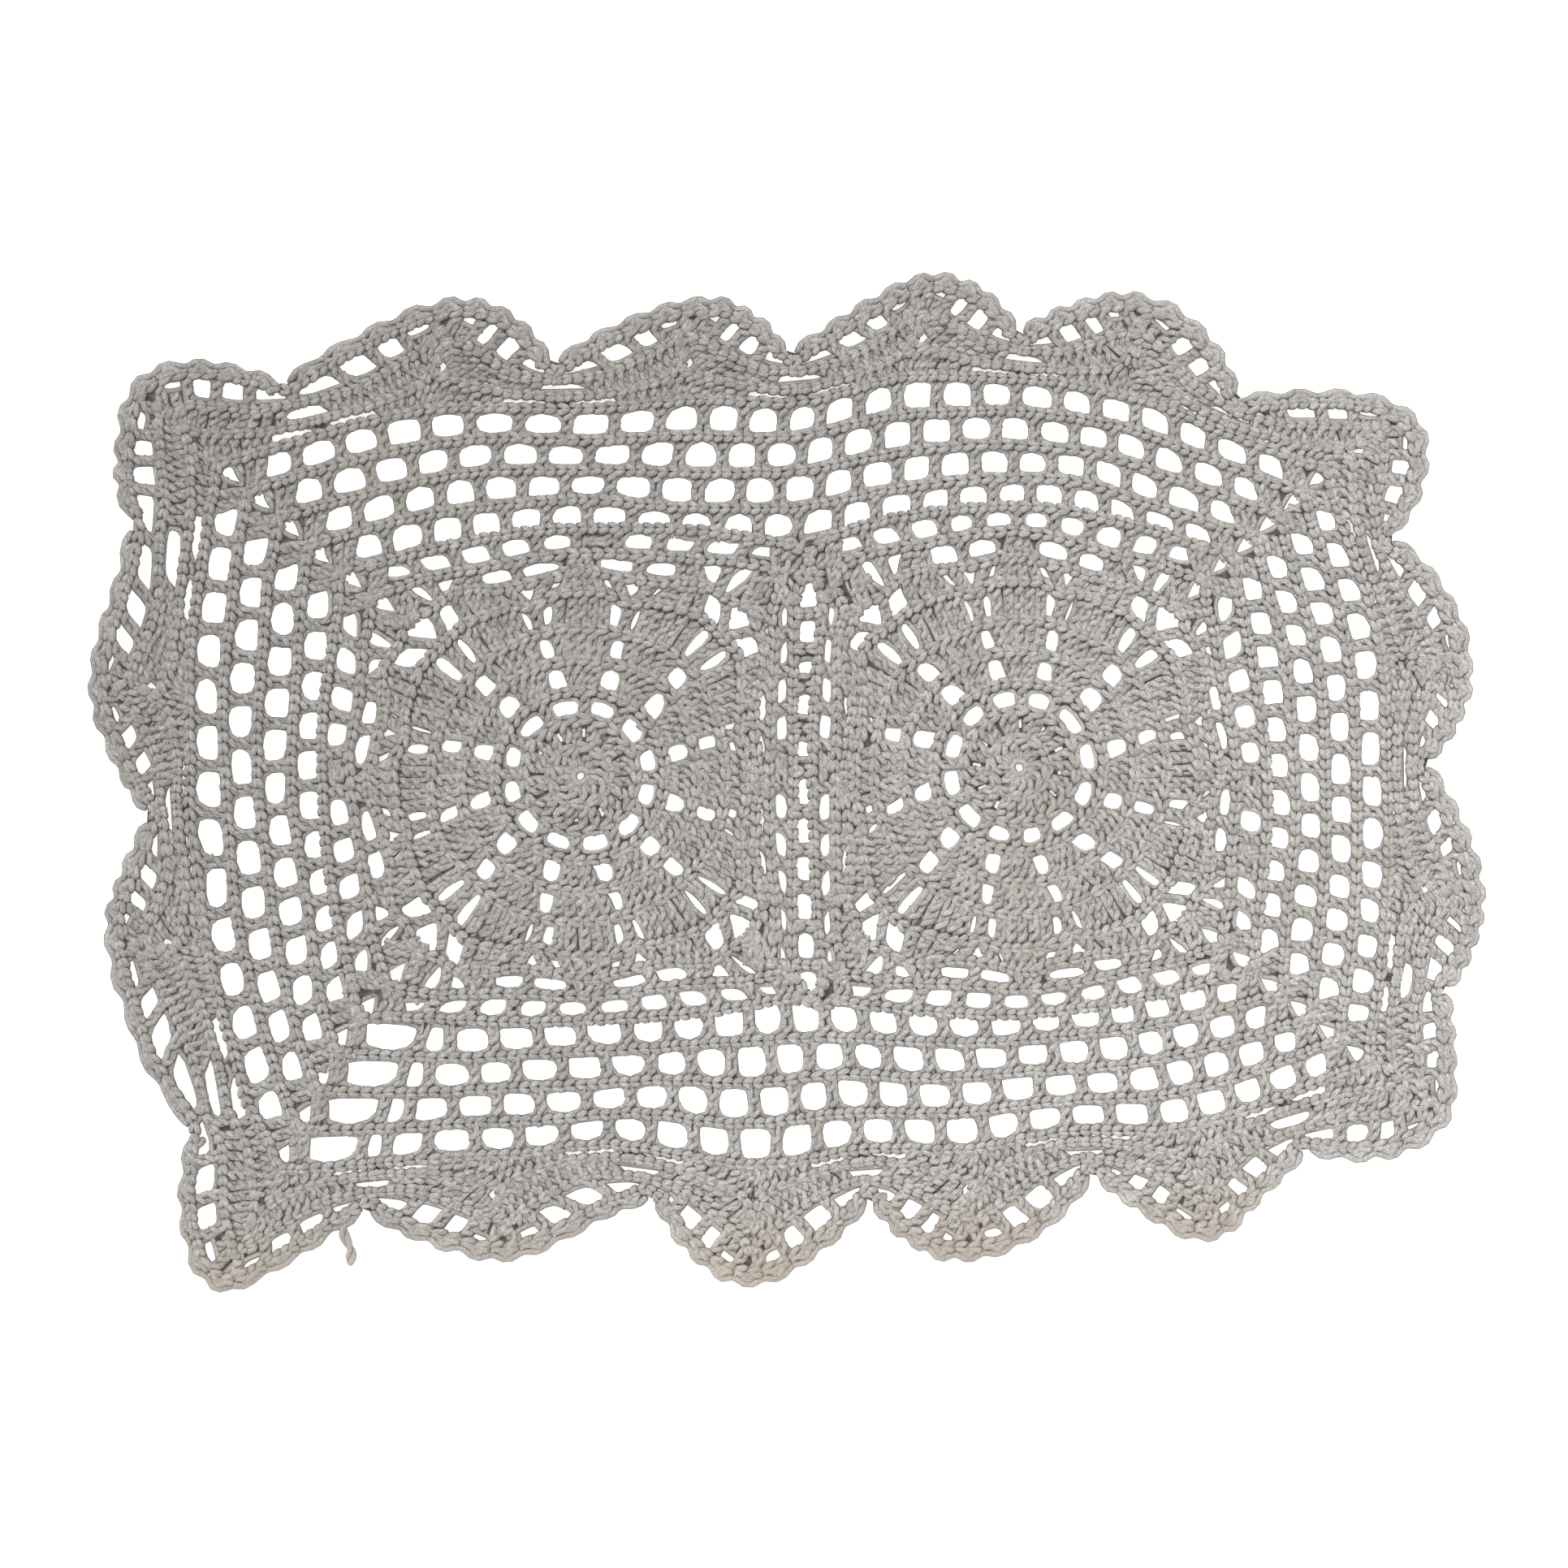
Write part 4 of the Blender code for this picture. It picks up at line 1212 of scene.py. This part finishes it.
def new_material(name):
    """A material with its node tree and its shader."""
    made = bpy.data.materials.new(name)
    made.use_nodes = True
    tree = made.node_tree
    return made, tree, tree.nodes["Principled BSDF"]


def mixed(tree, first, second, factor, kind="MIX"):
    """A colour mix. Each input is a socket or a plain value."""
    node = tree.nodes.new("ShaderNodeMix")
    node.data_type = "RGBA"
    node.blend_type = kind
    for number, value in ((0, factor), (6, first), (7, second)):
        socket = node.inputs[number]
        if isinstance(value, bpy.types.NodeSocket):
            tree.links.new(value, socket)
        elif isinstance(value, tuple):
            socket.default_value = (*value, 1.0)
        else:
            socket.default_value = value
    return node.outputs[2]


def ranged(tree, value, low, high, to_low=0.0, to_high=1.0):
    """A value eased from one range to another, and held at its ends."""
    node = tree.nodes.new("ShaderNodeMapRange")
    node.interpolation_type = "SMOOTHSTEP"
    limits = {"From Min": low, "From Max": high, "To Min": to_low, "To Max": to_high}
    for name, number in limits.items():
        node.inputs[name].default_value = number
    tree.links.new(value, node.inputs["Value"])
    return node.outputs["Result"]


def vector_math(tree, operation, vector, values, output="Vector"):
    """One operation on a vector and plain values."""
    node = tree.nodes.new("ShaderNodeVectorMath")
    node.operation = operation
    node.inputs[1].default_value = values
    tree.links.new(vector, node.inputs[0])
    return node.outputs[output]


def how_far(tree, vector, way):
    """How far each place lies along a way."""
    return vector_math(tree, "DOT_PRODUCT", vector, way, "Value")


def noise(tree, vector, scale, detail, roughness=0.5):
    """Cloudy noise between nothing and one."""
    node = tree.nodes.new("ShaderNodeTexNoise")
    for name, number in (("Scale", scale), ("Detail", detail), ("Roughness", roughness)):
        node.inputs[name].default_value = number
    tree.links.new(vector, node.inputs["Vector"])
    return node.outputs["Fac"]


def attribute(tree, name, output):
    """What a mesh keeps under this name at each of its points."""
    node = tree.nodes.new("ShaderNodeAttribute")
    node.attribute_name = name
    return node.outputs[output]


def bumped(tree, shader, height, strength, distance):
    """Gives a shader relief of this height, in metres."""
    node = tree.nodes.new("ShaderNodeBump")
    node.inputs["Strength"].default_value = strength
    node.inputs["Distance"].default_value = distance
    tree.links.new(height, node.inputs["Height"])
    tree.links.new(node.outputs["Normal"], shader.inputs["Normal"])


# Colours of the cotton. The stain is near the top of the right-hand motif, in metres.
FIBRE_DARK = (0.270, 0.256, 0.240)
FIBRE_LIGHT = (0.610, 0.586, 0.558)
PLY_GROOVE_SHADE = (0.220, 0.202, 0.182)
# Painted shade for the grooves between the plies of a strand
FLANK_SHADE = (0.085, 0.070, 0.056)
# Painted shade for the flanks of a strand, where it turns away from straight up
WARM_PATCH = (0.360, 0.312, 0.262)
WORN_RIM = (0.50, 0.42, 0.33)
PINK_STAIN = (0.50, 0.38, 0.34)
STAIN_PLACE = (0.062, 0.039, 0.002)
STAIN_REACH = 0.007
# Painted shade of the ground sheet, for the yarn deep between the stitches
GROUND_SHADE_DARK = (0.07, 0.056, 0.044)
GROUND_SHADE_LIGHT = (0.17, 0.148, 0.125)
# The mat is paler towards the lower right, and tan along its bottom edge
PALER_WAY = (2.4, -2.2, 0.0)
RIM_WAY = (0.05, -1.0, 0.0)


def cotton_material():
    """Matt off-white cotton: plies and fibres run round each strand, tan where the rim is worn.

    Painted shade: the flanks of a strand, pressed against its neighbours, are darker than its
    top.
    """
    made, tree, shader = new_material("cotton_yarn_worked")
    nodes = tree.nodes
    yarn = attribute(tree, "yarn", "Vector")
    place = nodes.new("ShaderNodeTexCoord").outputs["Object"]
    ply = noise(tree, vector_math(tree, "MULTIPLY", yarn, (1.1, 1.1, 0.10)), 1.3, 1.0)
    fibre = noise(tree, vector_math(tree, "MULTIPLY", yarn, (2.6, 2.6, 0.55)), 1.6, 3.0, 0.65)
    base = mixed(tree, FIBRE_DARK, FIBRE_LIGHT, ranged(tree, fibre, 0.36, 0.66))
    # Painted shade in the grooves between the plies, where the ply noise is low
    base = mixed(tree, base, PLY_GROOVE_SHADE, ranged(tree, ply, 0.46, 0.32, 0.0, 0.5))
    # Painted shade on the flanks of each strand: darker the further its normal turns from
    # straight up
    flank = nodes.new("ShaderNodeMath")
    flank.operation = "ABSOLUTE"
    normal = nodes.new("ShaderNodeNewGeometry").outputs["Normal"]
    tree.links.new(how_far(tree, normal, (0.0, 0.0, 1.0)), flank.inputs[0])
    base = mixed(tree, base, FLANK_SHADE, ranged(tree, flank.outputs[0], 0.62, 0.10, 0.0, 0.85))
    shade = ranged(tree, attribute(tree, "tone", "Fac"), -1.0, 1.0, 0.86, 1.08)
    paler = ranged(tree, how_far(tree, place, PALER_WAY), -0.58, 0.58, 0.80, 1.22)
    for value in (shade, paler):
        grey = nodes.new("ShaderNodeCombineColor")
        for socket in grey.inputs[:3]:
            tree.links.new(value, socket)
        base = mixed(tree, base, grey.outputs[0], 1.0, "MULTIPLY")
    patch = noise(tree, place, 26.0, 3.0, 0.6)
    base = mixed(tree, base, WARM_PATCH, ranged(tree, patch, 0.45, 0.75, 0.0, 0.30))
    rim = ranged(tree, how_far(tree, place, RIM_WAY), 0.086, 0.108, 0.0, 0.45)
    base = mixed(tree, base, WORN_RIM, rim)
    distance = vector_math(tree, "DISTANCE", place, STAIN_PLACE, "Value")
    stain = ranged(tree, distance, STAIN_REACH, 0.3 * STAIN_REACH)
    base = mixed(tree, base, mixed(tree, base, PINK_STAIN, 0.2), stain)
    tree.links.new(base, shader.inputs["Base Color"])
    shader.inputs["Roughness"].default_value = 0.93
    shader.inputs["Specular IOR Level"].default_value = 0.15
    shader.inputs["Sheen Weight"].default_value = 0.15
    bumped(tree, shader, mixed(tree, ply, fibre, 0.45), 1.0, 0.0003)
    return made


def painted_shade_ground_material():
    """Painted shade: the yarn deep between the stitches, where little light comes."""
    made, tree, shader = new_material("cotton_yarn_painted_shade")
    place = tree.nodes.new("ShaderNodeTexCoord").outputs["Object"]
    fine = noise(tree, place, 900.0, 3.0, 0.6)
    base = mixed(tree, GROUND_SHADE_DARK, GROUND_SHADE_LIGHT, ranged(tree, fine, 0.35, 0.7))
    tree.links.new(base, shader.inputs["Base Color"])
    shader.inputs["Roughness"].default_value = 0.95
    bumped(tree, shader, fine, 0.6, 0.0002)
    return made


# The picture: its middle on the mat and its width there, in metres
PICTURE_MIDDLE = (-0.00056, -0.0004, 0.0015)
PICTURE_WIDTH = 0.3362
CAMERA_LENS = 135.0
WORLD_LIGHT = 1.0
SUN_LIGHT = 1.4
FLOOR_GLOW = 0.6


def floor_material():
    """A pale matt floor, lit a little from within so that no shadow falls dark on it."""
    made, tree, shader = new_material("pale_floor")
    shader.inputs["Base Color"].default_value = (0.95, 0.95, 0.95, 1.0)
    shader.inputs["Roughness"].default_value = 1.0
    shader.inputs["Specular IOR Level"].default_value = 0.0
    shader.inputs["Emission Color"].default_value = (1.0, 1.0, 1.0, 1.0)
    shader.inputs["Emission Strength"].default_value = FLOOR_GLOW
    return made


def studio():
    """Soft even light from above, a pale floor, and the camera straight above the mat."""
    scene = bpy.context.scene
    scene.view_settings.view_transform = "Standard"
    world = bpy.data.worlds.new("studio")
    world.use_nodes = True
    world.node_tree.nodes["Background"].inputs["Color"].default_value = (1.0, 1.0, 1.0, 1.0)
    world.node_tree.nodes["Background"].inputs["Strength"].default_value = WORLD_LIGHT
    scene.world = world
    lamp = bpy.data.lights.new("window_light", "SUN")
    lamp.energy = SUN_LIGHT
    lamp.angle = math.radians(35)
    lamp_object = bpy.data.objects.new("window_light", lamp)
    lamp_object.rotation_euler = (math.radians(-38), math.radians(-22), 0.0)
    scene.collection.objects.link(lamp_object)
    floor = bpy.data.meshes.new("floor")
    floor.from_pydata([(-3, -3, 0), (3, -3, 0), (3, 3, 0), (-3, 3, 0)], [], [(0, 1, 2, 3)])
    linked("floor", floor, floor_material())
    camera = bpy.data.cameras.new("camera")
    camera.lens = CAMERA_LENS
    camera.clip_end = 100.0
    camera_object = bpy.data.objects.new("camera", camera)
    x, y, height = PICTURE_MIDDLE
    camera_object.location = (x, y, height + PICTURE_WIDTH * CAMERA_LENS / camera.sensor_width)
    scene.collection.objects.link(camera_object)
    scene.camera = camera_object


studio()
for motif in MOTIF_CENTRE:
    name = "motif_" + motif + "_yarn"
    at = partial(motif_point, motif)
    round_middle(name, at)
    leaf_rounds(name, at, motif)
    last_rounds(name, motif)
mesh_yarn("mesh_yarn")
join_yarn("join_yarn")
for border in BORDER:
    for index in border.fans[:-1]:
        fan_yarn("fans_" + border.side + "_yarn", index)
tail_yarn("tail_yarn")
fill_bare_ground()

cotton = cotton_material()
pieces = [yarn_object(name, cotton) for name in strands]
ground = ground_object("ground_sheet", painted_shade_ground_material())
for piece in pieces + [ground]:
    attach(piece, "root")
    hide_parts("crochet_mat")

bpy.context.view_layer.update()
